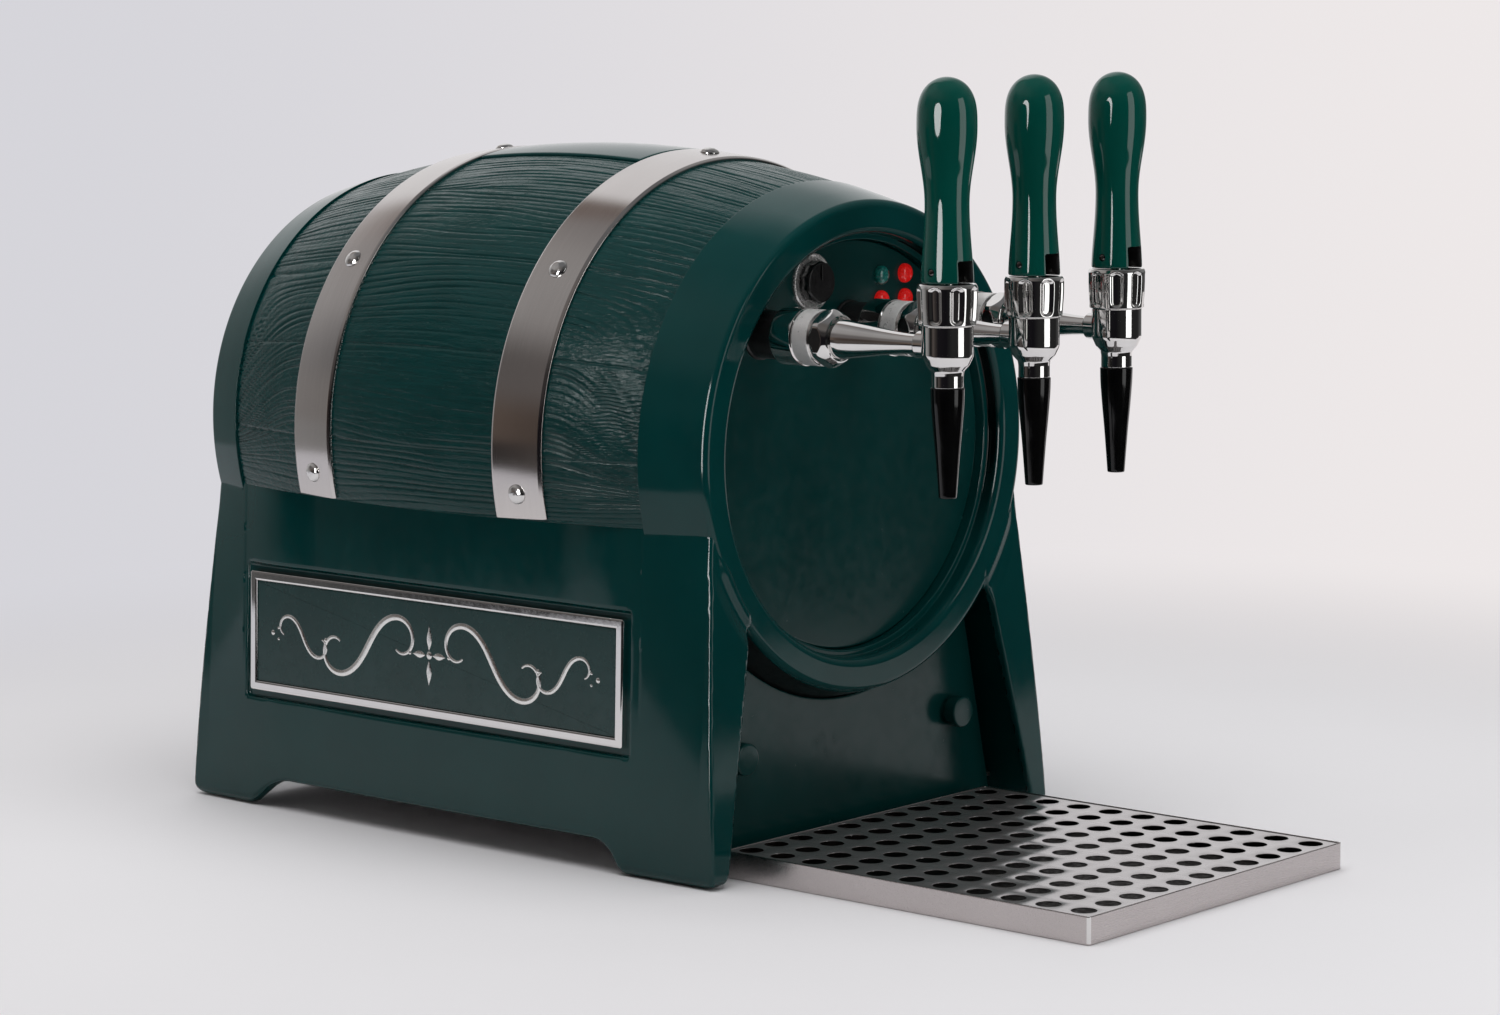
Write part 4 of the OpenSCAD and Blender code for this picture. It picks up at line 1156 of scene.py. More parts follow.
BLANK = tap_handle()
for i, x in enumerate(TAPS):
    me = BLANK.data.copy()
    me.transform(Matrix.Translation((x * 0.001, TAP_Y * 0.001, HANDLE_Z * 0.001)))
    ob = bpy.data.objects.new(f"tap_handle_{i + 1}_turned", me)
    bpy.context.scene.collection.objects.link(ob)
    finish_piece(ob, f"lever_{i + 1}", (f"tap_handle_{i + 1}",))
bpy.data.objects.remove(BLANK)


def bonnet_r(r, t, phi):
    """Eight upright flutes, soft at the edges and round at both ends."""
    d = (phi - math.radians(22.5) + math.pi / 8) % (math.pi / 4) - math.pi / 8
    off = np.where(t > 354.4, t - 354.4, np.where(t < 339.0, 339.0 - t, 0.0))
    s = np.hypot(17.7 * d, 1.35 * off)
    return np.where(r > 13.5, r - 1.9 * (1 - smooth(2.2, 4.7, s)), r)


bon_prof = rounded([(11, 335.1), (16.6, 335.1, 0.45), (17.35, 345.0, 12), (17.6, 351.0, 8), (17.6, 356.6, 1.6), (16.6, 358.8, 1.2), (13.0, 359.0, 1.0), (4.1, 359.0), (4.1, 350)], 6, 0.3)
keep = bon_prof[(bon_prof[:, 0] > 13.2)]
bon_prof = np.vstack([[(11, 335.1)], soft_rows(keep, 0.7), [(9.0, 359.0), (4.1, 359.0), (4.1, 350.0)]])

def spun(shape, deg):
    """The shape turned about its upright axis."""
    c, sn = math.cos(math.radians(deg)), math.sin(math.radians(deg))
    sh = Shape()
    return sh.join(shape, fn=lambda p: np.stack([c * p[:, 0] - sn * p[:, 1], sn * p[:, 0] + c * p[:, 1], p[:, 2]], 1))


bonnet = turn(bon_prof, "z", seg=320, shape_r=bonnet_r)
tap = turn(rounded([(11, 335), (14.8, 335.0, 0.3), (15.1, 334.4, 0.3), (15.1, 317.0, 6.0), (12.7, 311.9, 3.0), (9.7, 308.6, 2.0), (9.3, 306.0, 2), (9.3, 299.0, 0.4), (6.4, 299.0)], 6, 0.3), "z", seg=96)
boss = turn(rounded([(8.2, -9.9), (8.0, -8.0), (8.0, 8.4, 0.8), (5.6, 8.4)], 5, 0.3), "y", (0, -113.4 - TAP_Y, SHANK_Z), 64)
tap.join(boss)
spout = turn(np.vstack([rounded([(6.45, 298.9), (9.9, 298.9, 0.6), (9.85, 296.0)], 4, 0.2), spline([(9.8, 293), (9.55, 288), (8.6, 276), (7.3, 262), (6.2, 248), (5.6, 240), (5.35, 236.5)], 5),
                        rounded([(5.3, 236), (5.2, 235.0, 0.5), (3.6, 235.0, 0.4), (3.7, 245)], 4, 0.2)]), "z", seg=72)
shank = turn(np.vstack([spline([(5.6, -110.5), (5.6, -104), (6.3, -92), (7.8, -78), (10, -62), (11.4, -51.5), (11.8, -47.2)], 8), [(11.8, -46.4), (11.4, -46.0), (8, -46.0)]]), "y", (0, -TAP_Y, SHANK_Z), 80)


def collar_r(r, t, phi):
    """Nut end with six flats and a turned chamfer, plain ring behind."""
    flat = 15.6 / np.cos((phi + math.pi / 6) % (math.pi / 3) - math.pi / 6)
    cone = np.where(t < -40.0, 17.5 - (-40.0 - t) * 0.62, 17.5)
    cone2 = np.where(t > -36.0, 17.5 - (t + 36.0) * 0.8, 17.5)
    hexed = np.minimum(np.minimum(flat, cone), cone2)
    nut = (t <= -33.4) & (r > 13.0)
    return np.where(nut, np.minimum(r, hexed), r)


col_prof = np.vstack([[(8.1, -46.0), (12.6, -46.0)], soft_rows(rounded([(13.2, -46.0), (15.6, -44.6, 1.5), (17.5, -41.0, 2), (17.5, -34.0, 0.5), (16.2, -33.2, 0.4)], 4, 0.3), 0.6),
                      rounded([(16.2, -33.0), (16.4, -32.6, 0.3), (16.4, -21.0, 0.3), (16.2, -20.7)], 3, 0.3),
                      rounded([(16.3, -20.5), (17.3, -19.9, 0.4), (17.3, -4.3, 0.8), (16.4, -3.1, 0.5), (8.1, -3.1)], 5, 0.3)])
collar = turn(col_prof, "y", (0, 0, SHANK_Z), 180, shape_r=collar_r, phase=0.0)
band = turn(rounded([(16.3, -32.6), (16.75, -32.2, 0.3), (16.75, -21.2, 0.3), (16.3, -20.8)], 3, 0.3), "y", (0, 0, SHANK_Z), 96)
sleeve = turn(rounded([(8.1, -3.0), (14.2, -3.0, 0.5), (14.6, -2.2, 0.5), (14.6, 15.4, 0.5), (15.6, 16.2, 0.4), (15.6, 17.5), (8.1, 17.5)], 4, 0.3), "y", (0, 0, SHANK_Z), 80)
pin = turn(rounded([(0, -15.3), (1.2, -15.25, 0.8), (2.0, -14.6, 0.6), (2.0, 14.6, 0.6), (1.2, 15.25, 0.8), (0, 15.3)], 5, 0.2), "x", seg=32)
collars, bands, sleeves = Shape(), Shape(), Shape()
for i, x in enumerate(TAPS):
    n = i + 1
    up = (x, TAP_Y, 0)
    for part, sh, mat, slot in (("bonnet", bonnet, M_CHROME, "chrome"), ("body", tap, M_CHROME, "chrome"), ("spout", spout, M_GLOSS, "spout_black"), ("shank", shank, M_CHROME, "chrome")):
        one = Shape()
        one.join(spun(sh, (-9.0, -3.0, 14.0)[i]) if part == "bonnet" else sh, up)
        make(f"tap_{part}_{n}_turned", one, mat, nodes=(f"tap_{part}_{n}",), angle=48 if part == "bonnet" else 38)
    one = Shape()
    one.join(pin, (x, TAP_Y, HANDLE_Z + 6.5))
    make(f"lever_pin_{n}_dowel", one, M_PIN, body=f"lever_{n}", nodes=(f"lever_pin_{n}",))
    collars.join(collar, (x, 0, 0))
    bands.join(band, (x, 0, 0))
    sleeves.join(sleeve, (x, 0, 0))
make("tap_collar_nuts", collars, M_CHROME, nodes=("tap_collars",), angle=30)
make("tap_collar_bands", bands, M_SATIN, nodes=("tap_collars",))
make("tap_sleeves_black", sleeves, M_BLACK, nodes=("tap_sleeves",))


# ---------------------------------------------------------------- rear fittings

def rear_cover():
    ob = make("rear_cover_vented", turn(rounded([(0, 425.0), (60, 425.0), (116, 425.0, 0.6), (118, 424.0, 0.6), (121, 424.0, 0.6), (122.4, 425.0, 0.6), (129.8, 425.0, 0.9), (129.8, 422.1), (0, 422.1)], 4, 0.5), "y", (0, 0, AXIS_Z), 160),
              M_BLACK, nodes=("rear_cover",))
    holes = Shape()
    for side in (-1.0, 1.0):
        for k in range(7):
            long = min(62.0, math.sqrt(111.0 ** 2 - (38.0 + 11.0 * k) ** 2) - 17.0)
            o = round_rect(long, 5.0, 2.45, 6)
            n = len(o)
            pts = np.vstack([np.column_stack([o[:, 0] + side * (17.0 + long / 2), np.full(n, y), o[:, 1] + 284.0 + 11.0 * k]) for y in (418.0, 430.0)])
            holes.add(pts, grid_faces(2, n, wrap_v=True), np.arange(n)[None, :], (np.arange(n) + n)[::-1][None, :])
    c = make("vent_cut", holes, M_BLACK, body=None)
    return cut(ob, c, flat_along=1)


rear_cover()


def screw_blank():
    head = make("screw_blank", turn(rounded([(0, -1.5), (4.0, -1.5), (4.8, 0.0), (4.75, 1.2, 0.8), (3.6, 2.6, 1.6), (0, 3.2)], 5, 0.25), "z", seg=40), M_SCREW, body=None)
    c = make("cross_a", box_shape(-2.6, 2.6, -0.5, 0.5, 1.3, 6), M_SCREW, body=None)
    cut(head, c)
    c = make("cross_b", box_shape(-0.5, 0.5, -2.6, 2.6, 1.31, 6), M_SCREW, body=None)
    cut(head, c)
    me = head.data
    pts = np.array([v.co for v in me.vertices]) * 1000.0
    pts[:, 1] -= SHIFT
    sh = Shape()
    by = {}
    for poly in me.polygons:
        by.setdefault(len(poly.vertices), []).append(list(poly.vertices))
    sh.add(pts, *[np.array(v) for v in by.values()])
    bpy.data.objects.remove(head)
    return sh


SCREW = screw_blank()
screws = Shape()
spots = [((125.3 * math.cos(math.radians(a)), 425.0, AXIS_Z + 125.3 * math.sin(math.radians(a))), a * 1.7) for a in range(30, 360, 60)]
spots += [((x, 418.0, 40.0), 20 + x) for x in (-104.0, 104.0)]
for c, spin in spots:
    ca, sa = math.cos(math.radians(spin)), math.sin(math.radians(spin))
    screws.join(SCREW, fn=lambda p, c=c, ca=ca, sa=sa: np.stack([c[0] + p[:, 0] * ca - p[:, 1] * sa, c[1] + p[:, 2], c[2] + p[:, 0] * sa + p[:, 1] * ca], 1))
for x in (-145.0, 145.0):
    for y in (50.0, 390.0):
        screws.join(SCREW, fn=lambda p, x=x, y=y: np.stack([x + p[:, 0], y + p[:, 1], 18.0 - p[:, 2]], 1))
make("case_screw_heads", screws, M_SCREW, nodes=("case_screws",), angle=30)

inlets = Shape()
inlet = turn(rounded([(3.0, 410), (3.0, 446.0, 0.3), (4.3, 446.0, 0.4), (5.0, 444.4, 0.4), (5.0, 424.0, 0.5), (9.6, 424.0, 0.5), (10.0, 423.4, 0.4), (10.0, 418.1)], 5, 0.3), "y", seg=56)
for x in TAPS:
    inlets.join(inlet, (x, 0, 70.0))
make("inlet_fittings_turned", inlets, M_SCREW, nodes=("inlet_fittings",))


def gland_r(r, t, phi):
    flat = 10.4 / np.cos((phi + math.pi / 6) % (math.pi / 3) - math.pi / 6)
    cone = np.minimum(12.0, np.minimum(10.6 + (431.2 - t) * 1.2, 10.6 + (t - 424.8) * 2.0))
    nut = (t < 431.2) & (r > 9.7)
    ribs = np.where((t > 431.6) & (t < 435.2) & (r > 9.0), 0.35 * (0.5 + 0.5 * np.cos(16 * phi)), 0.0)
    return np.where(nut, np.minimum(r, np.minimum(flat, cone)), r) - ribs


gl = np.vstack([soft_rows(rounded([(6, 425.1), (12.0, 425.1), (12.0, 431.1), (9.8, 431.2)], 3, 0.3), 0.7), soft_rows(rounded([(9.6, 431.3), (9.6, 435.2, 1.0), (7.2, 439.0, 0.8), (4.0, 439.0, 0.5), (4.0, 426)], 5, 0.3), 0.8)])
make("cable_gland_nut", turn(gl, "y", (60.0, 0, 190.0), 144, shape_r=gland_r), M_BLACK, nodes=("cable_gland",), angle=30)


def switch():
    o = round_rect(24.0, 32.0, 2.0, 6)
    fl = slab(o, 0.7, 2.0, lambda a, b, d: np.stack([-60.0 - a, 427.0 - d, 190.0 + b], 1))
    ob = make("switch_flange", fl, M_BLACK, nodes=("switch_body",))
    well = box_shape(-67.9, -52.1, 420.0, 440.0, 180.0, 200.0)
    cut(ob, make("well_cut", well, M_BLACK, body=None), 0.3)
    # the well's floor and walls
    wall = Shape()
    loop = np.array([(-67.9, 180.0), (-52.1, 180.0), (-52.1, 200.0), (-67.9, 200.0)])
    rows = np.vstack([np.column_stack([loop[:, 0], np.full(4, y), loop[:, 1]]) for y in (425.2, 412.0)])
    wall.add(rows, grid_faces(2, 4, wrap_v=True), np.array([[4, 5, 6, 7]]))
    make("switch_well", wall, M_BLACK, nodes=("switch_body",))
    # rocker: two faces that meet at the middle, rounded sides
    r = 10.0
    sec = []
    a_up = math.acos(6.0 / r)
    for t in np.linspace(math.radians(100), a_up, 10):
        sec.append((r * math.cos(t), r * math.sin(t)))
    sec += [(6.0, z) for z in (6.0, 3.0, 0.8)]
    low = math.radians(-18)
    for z in (-0.8, -3.5, -6.5):
        sec.append((6.0 * math.cos(low) - z * math.sin(low), 6.0 * math.sin(low) + z * math.cos(low)))
    a_lo = low - math.acos(6.0 / r)
    for t in np.linspace(a_lo, math.radians(-110), 8):
        sec.append((r * math.cos(t), r * math.sin(t)))
    sec = np.array(sec + [(-3.0, -5.0), (-3.0, 5.0)])
    n = len(sec)
    rows = []
    for x, k in ((-7.5, 0.93), (-7.2, 0.975), (-6.6, 1.0), (6.6, 1.0), (7.2, 0.975), (7.5, 0.93)):
        rows.append(np.column_stack([np.full(n, -60.0 + x), 424.5 + sec[:, 0] * k, 190.0 + sec[:, 1] * k]))
    sh = Shape()
    sh.add(np.vstack(rows), grid_faces(len(rows), n, wrap_v=True), np.arange(n)[None, :], (np.arange(n) + n * (len(rows) - 1))[::-1][None, :])
    make("switch_rocker_cap", sh, M_KNOB, body="rocker", nodes=("switch_rocker",), angle=25)


switch()


# ---------------------------------------------------------------- drip tray

def tray():
    w, l, cy, R, n = 126.8, 136.0, -125.0, 1.8, 6
    prof = rounded([(1.6, 0.0), (0.0, 0.0, 1.1), (0.0, 16.5, 0.55), (1.2, 16.5, 0.55), (1.2, 13.8, 0.3), (5.0, 13.8, 0.4), (5.0, 12.6, 0.4), (1.2, 12.6, 0.2), (1.2, 1.2, 0.8), (4.0, 1.2)], 4, 0.3)
    loops = []
    for d, z in prof:
        r = max(R - d, 0.015)
        loops.append(np.column_stack([round_rect(2 * (w - d), 2 * (l - d), r, n) + (0, cy), np.full(4 * (n + 1), z)]))
    m = 4 * (n + 1)
    sh = Shape()
    k = len(loops)
    sh.add(np.vstack(loops), grid_faces(k, m, wrap_v=True), np.arange(m)[None, :], (np.arange(m) + (k - 1) * m)[::-1][None, :])
    p = sh.points()
    uv = np.stack([p[:, 2] / 50.0, (p[:, 0] + p[:, 1]) / 50.0], 1)
    return sh, uv


t_sh, t_uv = tray()
TRAY = make("drip_tray_folded", t_sh, M_TRAY, body="tray", nodes=("drip_tray",), angle=50, fix=False, uv=t_uv)
TRAY.data.materials.append(M_STEEL_SHADE)
TRAY.data.materials.append(M_CHROME)
for poly in TRAY.data.polygons:
    c = poly.center
    # painted shade: the tray's inside, seen through the grid's holes, takes the dark steel
    if 0.0009 < c.z < 0.0139 and abs(c.x) < 0.1258 and -0.3575 < c.y < -0.0865:
        poly.material_index = 1
    # painted highlight: the rounded outer corners take the brighter polished chrome, which also reflects the floor
    elif abs(c.x) > 0.1252 and abs(c.y + 0.222) > 0.1344 and c.z > 0.001:
        poly.material_index = 2


def grid_plate():
    xb = [-125.2] + [22.7 * (i - 4.5) for i in range(10)] + [125.2]
    yb = [-259.4] + [-247.5 + 24.75 * (j + 0.5) for j in range(10)] + [9.4]
    per = 8
    m = 4 * per
    ang = np.radians(-135 + 90.0 * np.arange(m) / per)
    top, low, lip = 15.9, 15.35, 14.1
    sh = Shape()
    ring = [(7.55, top), (7.46, top - 0.04), (7.4, top - 0.14), (7.4, low)]
    for i in range(11):
        for j in range(11):
            cx, cy = 22.7 * (i - 5), -247.5 + 24.75 * j
            x0, x1, y0, y1 = xb[i], xb[i + 1], yb[j], yb[j + 1]
            t = np.arange(per) / per
            sq = np.vstack([np.column_stack([mix(x0, x1, t), np.full(per, y0)]), np.column_stack([np.full(per, x1), mix(y0, y1, t)]),
                            np.column_stack([mix(x1, x0, t), np.full(per, y1)]), np.column_stack([np.full(per, x0), mix(y1, y0, t)])])
            loops = [np.column_stack([sq, np.full(m, top)])]
            for r, z in ring:
                loops.append(np.column_stack([cx + r * np.cos(ang), cy + r * np.sin(ang), np.full(m, z)]))
            loops.append(np.column_stack([sq, np.full(m, low)]))
            sh.add(np.vstack(loops), grid_faces(len(loops), m, wrap_v=True))
    o = np.array([(-125.2, -259.4), (125.2, -259.4), (125.2, 9.4), (-125.2, 9.4)])
    sh.add(np.vstack([np.column_stack([o, np.full(4, z)]) for z in (top, lip)]), grid_faces(2, 4, wrap_v=True))
    p = sh.points()
    return sh, np.stack([p[:, 0] / 50.0, p[:, 1] / 50.0], 1)


g_sh, g_uv = grid_plate()
GRID = make("drip_grid_punched", g_sh, M_GRID, body="grid", nodes=("drip_grid",), angle=50, fix=False, uv=g_uv)
GRID.data.materials.append(M_STEEL_SHADE)
for poly in GRID.data.polygons:
    # painted shade: the walls of the punched holes take the dark steel
    if abs(poly.normal.z) < 0.2 and abs(poly.center.x) < 0.124:
        poly.material_index = 1


# ---------------------------------------------------------------- inner parts keep their own meshes

KEPT = {
    "thermostat_body": M_STEEL, "temperature_probe": M_SCREW, "lamp_holders": M_BLACK, "shank_nuts": M_BRASS, "chassis": M_STEEL, "tank_body": M_STEEL,
    "tank_lid": M_STEEL, "heating_coils": M_SCREW, "heater_element": M_HEATER, "feed_pumps": M_BLACK, "product_hoses": M_HOSE,
    "valve_stem_1": M_SCREW, "valve_stem_2": M_SCREW, "valve_stem_3": M_SCREW, "seat_cup_1": M_RUBBER, "seat_cup_2": M_RUBBER, "seat_cup_3": M_RUBBER,
}
for name, mat in KEPT.items():
    ob = frame["nodes"][name]
    ob.data.materials.clear()
    ob.data.materials.append(mat)


# ---------------------------------------------------------------- stage

BELOW = [(-180, (0.36, 0.36, 0.36)), (-152, (0.28, 0.275, 0.275)), (-143, (0.2, 0.195, 0.19)), (-137, (0.05, 0.05, 0.05)), (-132, (0.012, 0.012, 0.012)), (-125, (0.02, 0.018, 0.017)), (-117, (0.09, 0.076, 0.07)), (-106, (0.04, 0.034, 0.032)), (-93, (0.01, 0.009, 0.011)), (-55, (0.007, 0.0065, 0.008)), (-30, (0.02, 0.02, 0.02)), (60, (0.02, 0.02, 0.02)), (100, (0.12, 0.12, 0.12)), (118, (0.7, 0.69, 0.7)), (166, (0.75, 0.74, 0.75)), (180, (0.3, 0.3, 0.3))]
LOW = [(-180, (0.42, 0.41, 0.41)), (-166, (0.34, 0.33, 0.33)), (-152, (0.24, 0.23, 0.225)), (-140, (0.2, 0.18, 0.17)), (-127, (0.135, 0.103, 0.085)), (-114, (0.06, 0.046, 0.04)),
       (-98, (0.012, 0.01, 0.011)), (-68, (0.008, 0.007, 0.009)), (-56, (0.009, 0.008, 0.009)), (-47, (0.008, 0.007, 0.008)), (-20, (0.006, 0.006, 0.007)), (40, (0.025, 0.025, 0.026)),
       (52, (0.07, 0.07, 0.07)), (75, (0.07, 0.07, 0.07)), (102, (0.14, 0.14, 0.14)), (114, (0.6, 0.59, 0.59)), (124, (0.85, 0.84, 0.85)), (166, (0.85, 0.84, 0.85)), (180, (0.42, 0.41, 0.41))]
MID = [(-180, (0.5, 0.49, 0.49)), (-162, (0.36, 0.35, 0.35)), (-146, (0.085, 0.083, 0.085)), (-134, (0.12, 0.113, 0.11)), (-118, (0.15, 0.136, 0.133)), (-98, (0.06, 0.054, 0.053)), (-60, (0.03, 0.028, 0.028)),
       (-20, (0.03, 0.03, 0.03)), (40, (0.07, 0.07, 0.07)), (60, (0.14, 0.14, 0.14)), (104, (0.25, 0.25, 0.25)), (124, (0.85, 0.84, 0.85)), (166, (0.88, 0.87, 0.88)), (180, (0.5, 0.49, 0.49))]
HIGH = [(-180, (0.3, 0.28, 0.275)), (-160, (0.36, 0.345, 0.34)), (-140, (0.36, 0.35, 0.348)), (-116, (0.29, 0.275, 0.27)), (-90, (0.24, 0.225, 0.22)), (-60, (0.12, 0.11, 0.105)),
        (-20, (0.06, 0.06, 0.06)), (40, (0.12, 0.12, 0.12)), (60, (0.2, 0.2, 0.2)), (110, (0.3, 0.3, 0.3)), (134, (0.85, 0.84, 0.85)), (157, (0.88, 0.87, 0.88)), (164, (0.19, 0.15, 0.13)), (172, (0.22, 0.18, 0.165)), (180, (0.3, 0.28, 0.275))]
ZENITH = (0.16, 0.16, 0.165)
EYE = (-1.8291, -1.6212, 0.5162)
SWEEP_MID, SWEEP_SPAN, SWEEP_BACK = math.radians(131.5), math.radians(11.5), (math.radians(40.0), math.radians(150.0))
SWEEP_L, SWEEP_R = (0.67, 0.665, 0.705), (0.85, 0.81, 0.81)


def world():
    """A dim studio: warm dark walls in front and on the left, a bright backdrop behind on the right."""
    w = bpy.data.worlds.new("studio")
    bpy.context.scene.world = w
    w.use_nodes = True
    t = w.node_tree
    t.nodes.clear()

    def node(kind, **kw):
        n = t.nodes.new(kind)
        for k, v in kw.items():
            setattr(n, k, v)
        return n

    def span(value, a, b, how="SMOOTHSTEP"):
        n = node("ShaderNodeMapRange", interpolation_type=how)
        n.inputs["From Min"].default_value, n.inputs["From Max"].default_value = a, b
        t.links.new(value, n.inputs["Value"])
        return n.outputs["Result"]

    def ramp(value, stops):
        n = node("ShaderNodeValToRGB")
        e = n.color_ramp.elements
        while len(e) < len(stops):
            e.new(0.5)
        for el, (a, c) in zip(e, stops):
            el.position = (a + 180.0) / 360.0
            el.color = (*c, 1.0)
        t.links.new(value, n.inputs["Fac"])
        return n.outputs["Color"]

    def blend(fac, a, b):
        n = node("ShaderNodeMix", data_type="RGBA")
        t.links.new(fac, n.inputs["Factor"])
        for sock, v in zip((n.inputs[6], n.inputs[7]), (a, b)):
            if isinstance(v, tuple):
                sock.default_value = (*v, 1.0)
            else:
                t.links.new(v, sock)
        return n.outputs[2]

    sep = node("ShaderNodeSeparateXYZ")
    gen = node("ShaderNodeTexCoord").outputs["Generated"]
    t.links.new(gen, sep.inputs[0])
    neg = node("ShaderNodeMath", operation="MULTIPLY")
    neg.inputs[1].default_value = -1.0
    t.links.new(sep.outputs["Y"], neg.inputs[0])
    ang = node("ShaderNodeMath", operation="ARCTAN2")
    t.links.new(sep.outputs["X"], ang.inputs[0])
    t.links.new(neg.outputs[0], ang.inputs[1])
    turn_by = span(ang.outputs[0], -math.pi, math.pi, "LINEAR")
    z = sep.outputs["Z"]
    col = blend(span(z, -0.05, -0.01), ramp(turn_by, BELOW), ramp(turn_by, LOW))
    col = blend(span(z, 0.1, 0.3), col, ramp(turn_by, MID))
    col = blend(span(z, 0.4, 0.62), col, ramp(turn_by, HIGH))
    col = blend(span(z, 0.8, 0.96), col, ZENITH)
    aim = []
    for v in ((math.cos(SWEEP_MID), math.sin(SWEEP_MID), 0.0), (math.sin(SWEEP_MID), -math.cos(SWEEP_MID), 0.0)):
        d = node("ShaderNodeVectorMath", operation="DOT_PRODUCT")
        d.inputs[1].default_value = v
        t.links.new(gen, d.inputs[0])
        aim.append(d.outputs["Value"])
    off = node("ShaderNodeMath", operation="ARCTAN2")
    t.links.new(aim[0], off.inputs[0])
    t.links.new(aim[1], off.inputs[1])
    both = node("ShaderNodeMath", operation="SUBTRACT")
    t.links.new(span(off.outputs[0], -SWEEP_SPAN, SWEEP_SPAN), both.inputs[0])
    t.links.new(span(off.outputs[0], *SWEEP_BACK), both.inputs[1])
    sweep = blend(both.outputs[0], SWEEP_R, SWEEP_L)
    col = blend(node("ShaderNodeLightPath").outputs["Is Camera Ray"], col, sweep)
    bg = node("ShaderNodeBackground")
    t.links.new(col, bg.inputs["Color"])
    t.links.new(bg.outputs[0], node("ShaderNodeOutputWorld").inputs["Surface"])


world()


def floor_paint(name, far):
    p = Paint(name)
    mm = p.at()
    n = p.noise(mm, 1 / 400.0, 2)
    p.to(Base_Color=p.ramp(n, (0.3, (0.86, 0.85, 0.87)), (0.7, (0.88, 0.87, 0.89))))
    p.to(Roughness=p.span(p.noise(mm, 1 / 60.0, 3), 0.3, 0.7, 0.7, 0.8))
    p.set(Specular_IOR_Level=0.1)
    # the sweep far from the object is lit evenly to its edge
    em = p.t.nodes.new("ShaderNodeEmission")
    # cooler towards the left, warmer towards the right, as the sweep behind
    off = p.t.nodes.new("ShaderNodeVectorMath")
    off.operation = "SUBTRACT"
    off.inputs[1].default_value = EYE
    p.link(p.where, off.inputs[0])
    sep = p.t.nodes.new("ShaderNodeSeparateXYZ")
    p.link(off.outputs["Vector"], sep.inputs[0])
    x, y = sep.outputs["X"], sep.outputs["Y"]
    cm, sm = math.cos(SWEEP_MID), math.sin(SWEEP_MID)
    ang = p.math("ARCTAN2", p.math("ADD", p.math("MULTIPLY", x, cm), p.math("MULTIPLY", y, sm)),
                 p.math("SUBTRACT", p.math("MULTIPLY", x, sm), p.math("MULTIPLY", y, cm)))
    side = []
    for a, b in ((-SWEEP_SPAN, SWEEP_SPAN), SWEEP_BACK):
        n = p.t.nodes.new("ShaderNodeMapRange")
        n.interpolation_type = "SMOOTHSTEP"
        n.inputs["From Min"].default_value, n.inputs["From Max"].default_value = a, b
        p.link(ang, n.inputs["Value"])
        side.append(n.outputs["Result"])
    p.link(p.blend(p.math("SUBTRACT", *side), SWEEP_R, SWEEP_L), em.inputs["Color"])
    mx = p.t.nodes.new("ShaderNodeMixShader")
    ln = p.t.nodes.new("ShaderNodeVectorMath")
    ln.operation = "LENGTH"
    p.link(p.where, ln.inputs[0])
    f = p.t.nodes.new("ShaderNodeMapRange")
    f.interpolation_type = "SMOOTHSTEP"
    f.inputs["From Min"].default_value, f.inputs["From Max"].default_value = far
    p.link(ln.outputs["Value"], f.inputs["Value"])
    p.link(f.outputs["Result"], mx.inputs["Fac"])
    p.link(p.b.outputs["BSDF"], mx.inputs[1])
    p.link(em.outputs[0], mx.inputs[2])
    p.link(mx.outputs[0], p.out.inputs["Surface"])
    return p.m


EDGE = [(-180, 1.6), (-150, 1.7), (-138, 1.6), (-124, 1.55), (-117, 1.3), (-108, 1.02), (-98, 0.95), (-80, 0.95), (-45, 0.9), (0, 0.85), (48, 0.85), (62, 1.3), (75, 3.0), (120, 3.0), (150, 2.2), (180, 1.6)]


def floor_sheet(name, mat, near):
    """The floor: the lit part round the object, or the rest of the sweep, which stays out of reflections."""
    n = 180
    az = np.linspace(-180, 180, n, endpoint=False)
    r = np.interp(az, *zip(*EDGE))
    a = np.radians(az)
    ring = np.column_stack([r * np.sin(a), -r * np.cos(a), 0 * a])
    k = np.arange(n)
    if near:
        pts = np.vstack([[(0, 0, 0)], ring])
        faces = np.stack([np.zeros(n, int), 1 + k, 1 + (k + 1) % n], 1)
    else:
        pts = np.vstack([ring, np.column_stack([40 * np.sin(a), -40 * np.cos(a), 0 * a])])
        faces = np.stack([k, n + k, n + (k + 1) % n, (k + 1) % n], 1)
    me = bpy.data.meshes.new(name)
    me.from_pydata([tuple(map(float, p)) for p in pts], [], [list(map(int, q)) for q in faces])
    me.materials.append(mat)
    ob = bpy.data.objects.new(name, me)
    bpy.context.scene.collection.objects.link(ob)
    ob.visible_glossy = near
    return ob


FLOOR = floor_paint("floor_white", (0.55, 1.3))
floor_sheet("floor_near", FLOOR, True)
floor_sheet("floor_far", FLOOR, False)


def lamp(name, where, toward, size, power, colour=(1, 1, 1), glossy=True):
    d = bpy.data.lights.new(name, "AREA")
    d.shape = "RECTANGLE"
    d.size, d.size_y = size
    d.energy = power
    d.color = colour
    ob = bpy.data.objects.new(name, d)
    ob.location = where
    ob.rotation_euler = (Vector(toward) - Vector(where)).to_track_quat("-Z", "Y").to_euler()
    bpy.context.scene.collection.objects.link(ob)
    ob.visible_camera = False
    ob.visible_glossy = glossy
    return ob


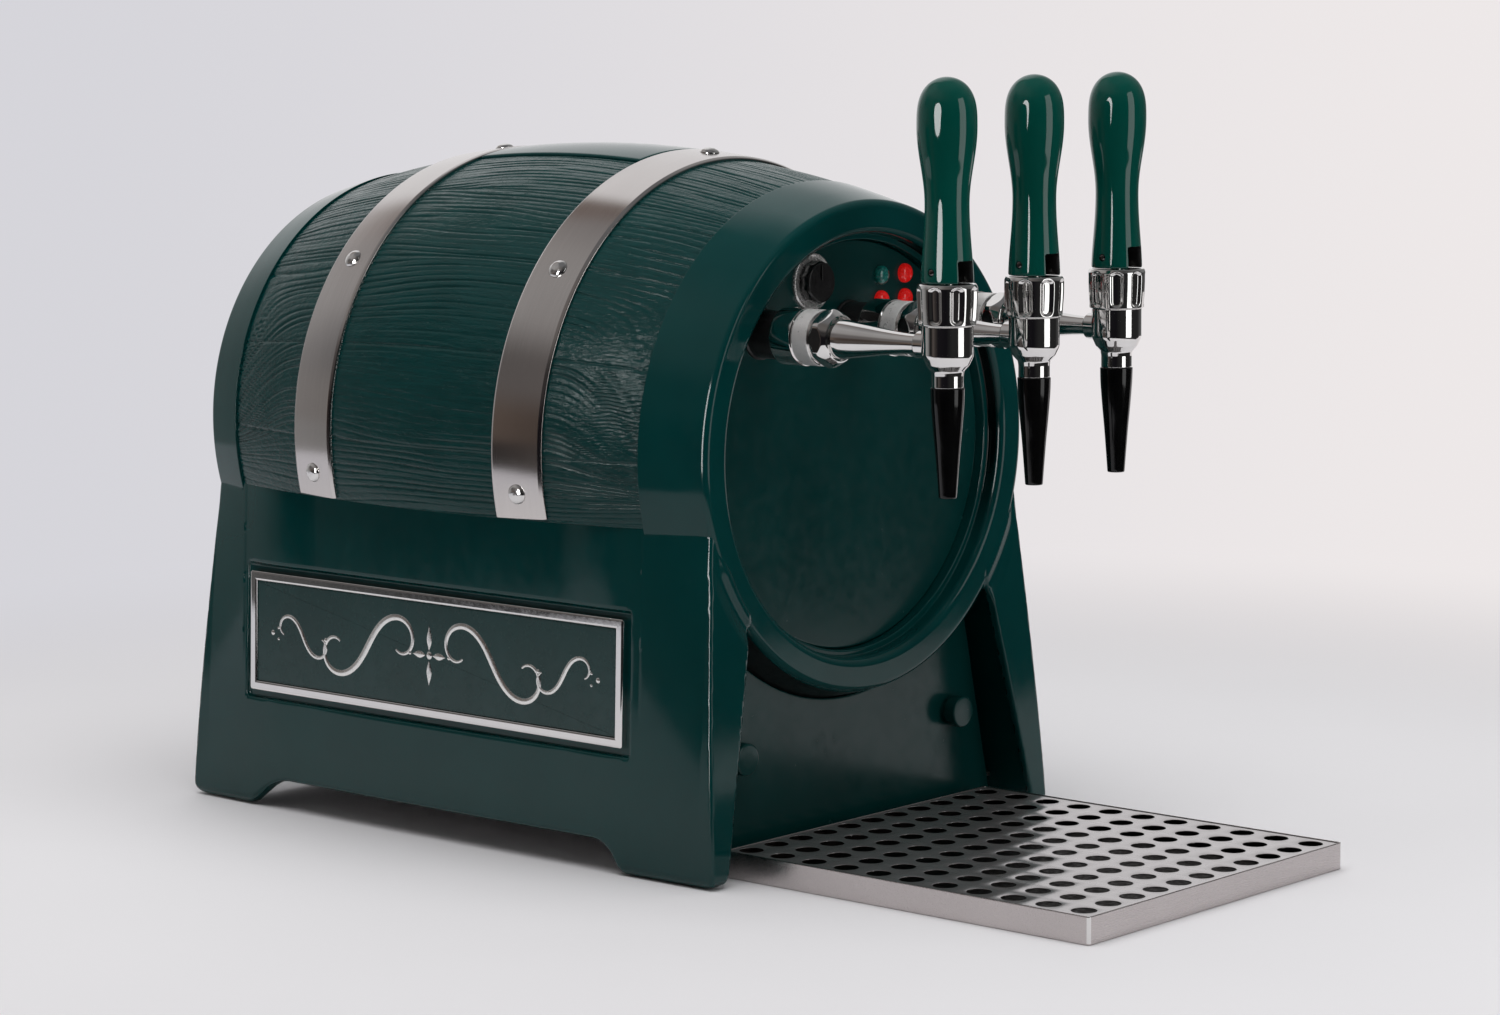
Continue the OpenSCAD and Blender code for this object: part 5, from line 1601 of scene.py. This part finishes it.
lamp("overhead", (-0.3, -0.1, 2.35), (0.0, 0.05, 0.0), (2.6, 2.2), 46.0, glossy=False)
lamp("softbox", (0.175, -1.46, 0.62), (0.0, -0.22, 0.62), (0.6, 1.2), 3.9)
bulb = lamp("bulb", (-1.70, -0.31, 0.56), (0.0, -0.22, 0.42), (0.45, 1.06), 23.0)
lit = bpy.data.collections.new("bulb_lit")
for name in ("hoop_rivets_domes", "housing_rings", "housing_base", "housing_staves"):
    lit.objects.link(bpy.data.objects[name])
bulb.light_linking.receiver_collection = lit
bulb.visible_diffuse = False
wide = lamp("bulb_wide", (-1.70, -0.31, 0.67), (0.0, -0.22, 0.44), (0.8, 0.95), 20.0)
wide.data.shape = "ELLIPSE"
grips = bpy.data.collections.new("wide_lit")
for i in (1, 2, 3):
    grips.objects.link(bpy.data.objects[f"tap_handle_{i}_turned"])
wide.light_linking.receiver_collection = grips
wide.visible_diffuse = False
glint = lamp("glint", (-1.87, 0.67, 1.08), (-0.165, -0.02, 0.3), (0.35, 0.35), 5.0)
wood = bpy.data.collections.new("glint_lit")
wood.objects.link(bpy.data.objects["housing_staves"])
glint.light_linking.receiver_collection = wood
glint.visible_diffuse = False


# ---------------------------------------------------------------- camera

def camera():
    c = bpy.data.cameras.new("photo_view")
    ob = bpy.data.objects.new("photo_view", c)
    bpy.context.scene.collection.objects.link(ob)
    loc, aim, roll = Vector(EYE), Vector((-0.033677, -0.027149, 0.209319)), math.radians(-0.471)
    fw = (aim - loc).normalized()
    right = fw.cross(Vector((0, 0, 1))).normalized()
    up = right.cross(fw)
    r2 = right * math.cos(roll) + up * math.sin(roll)
    u2 = up * math.cos(roll) - right * math.sin(roll)
    m = Matrix((r2, u2, -fw)).transposed().to_4x4()
    m.translation = loc
    ob.matrix_world = m
    c.lens, c.sensor_width, c.sensor_fit = 93.72, 36.0, "HORIZONTAL"
    c.clip_end = 100.0
    bpy.context.scene.camera = ob


camera()
view = bpy.context.scene.view_settings
view.view_transform = "Standard"
view.look = "None"
view.exposure = 0.0
view.gamma = 1.0
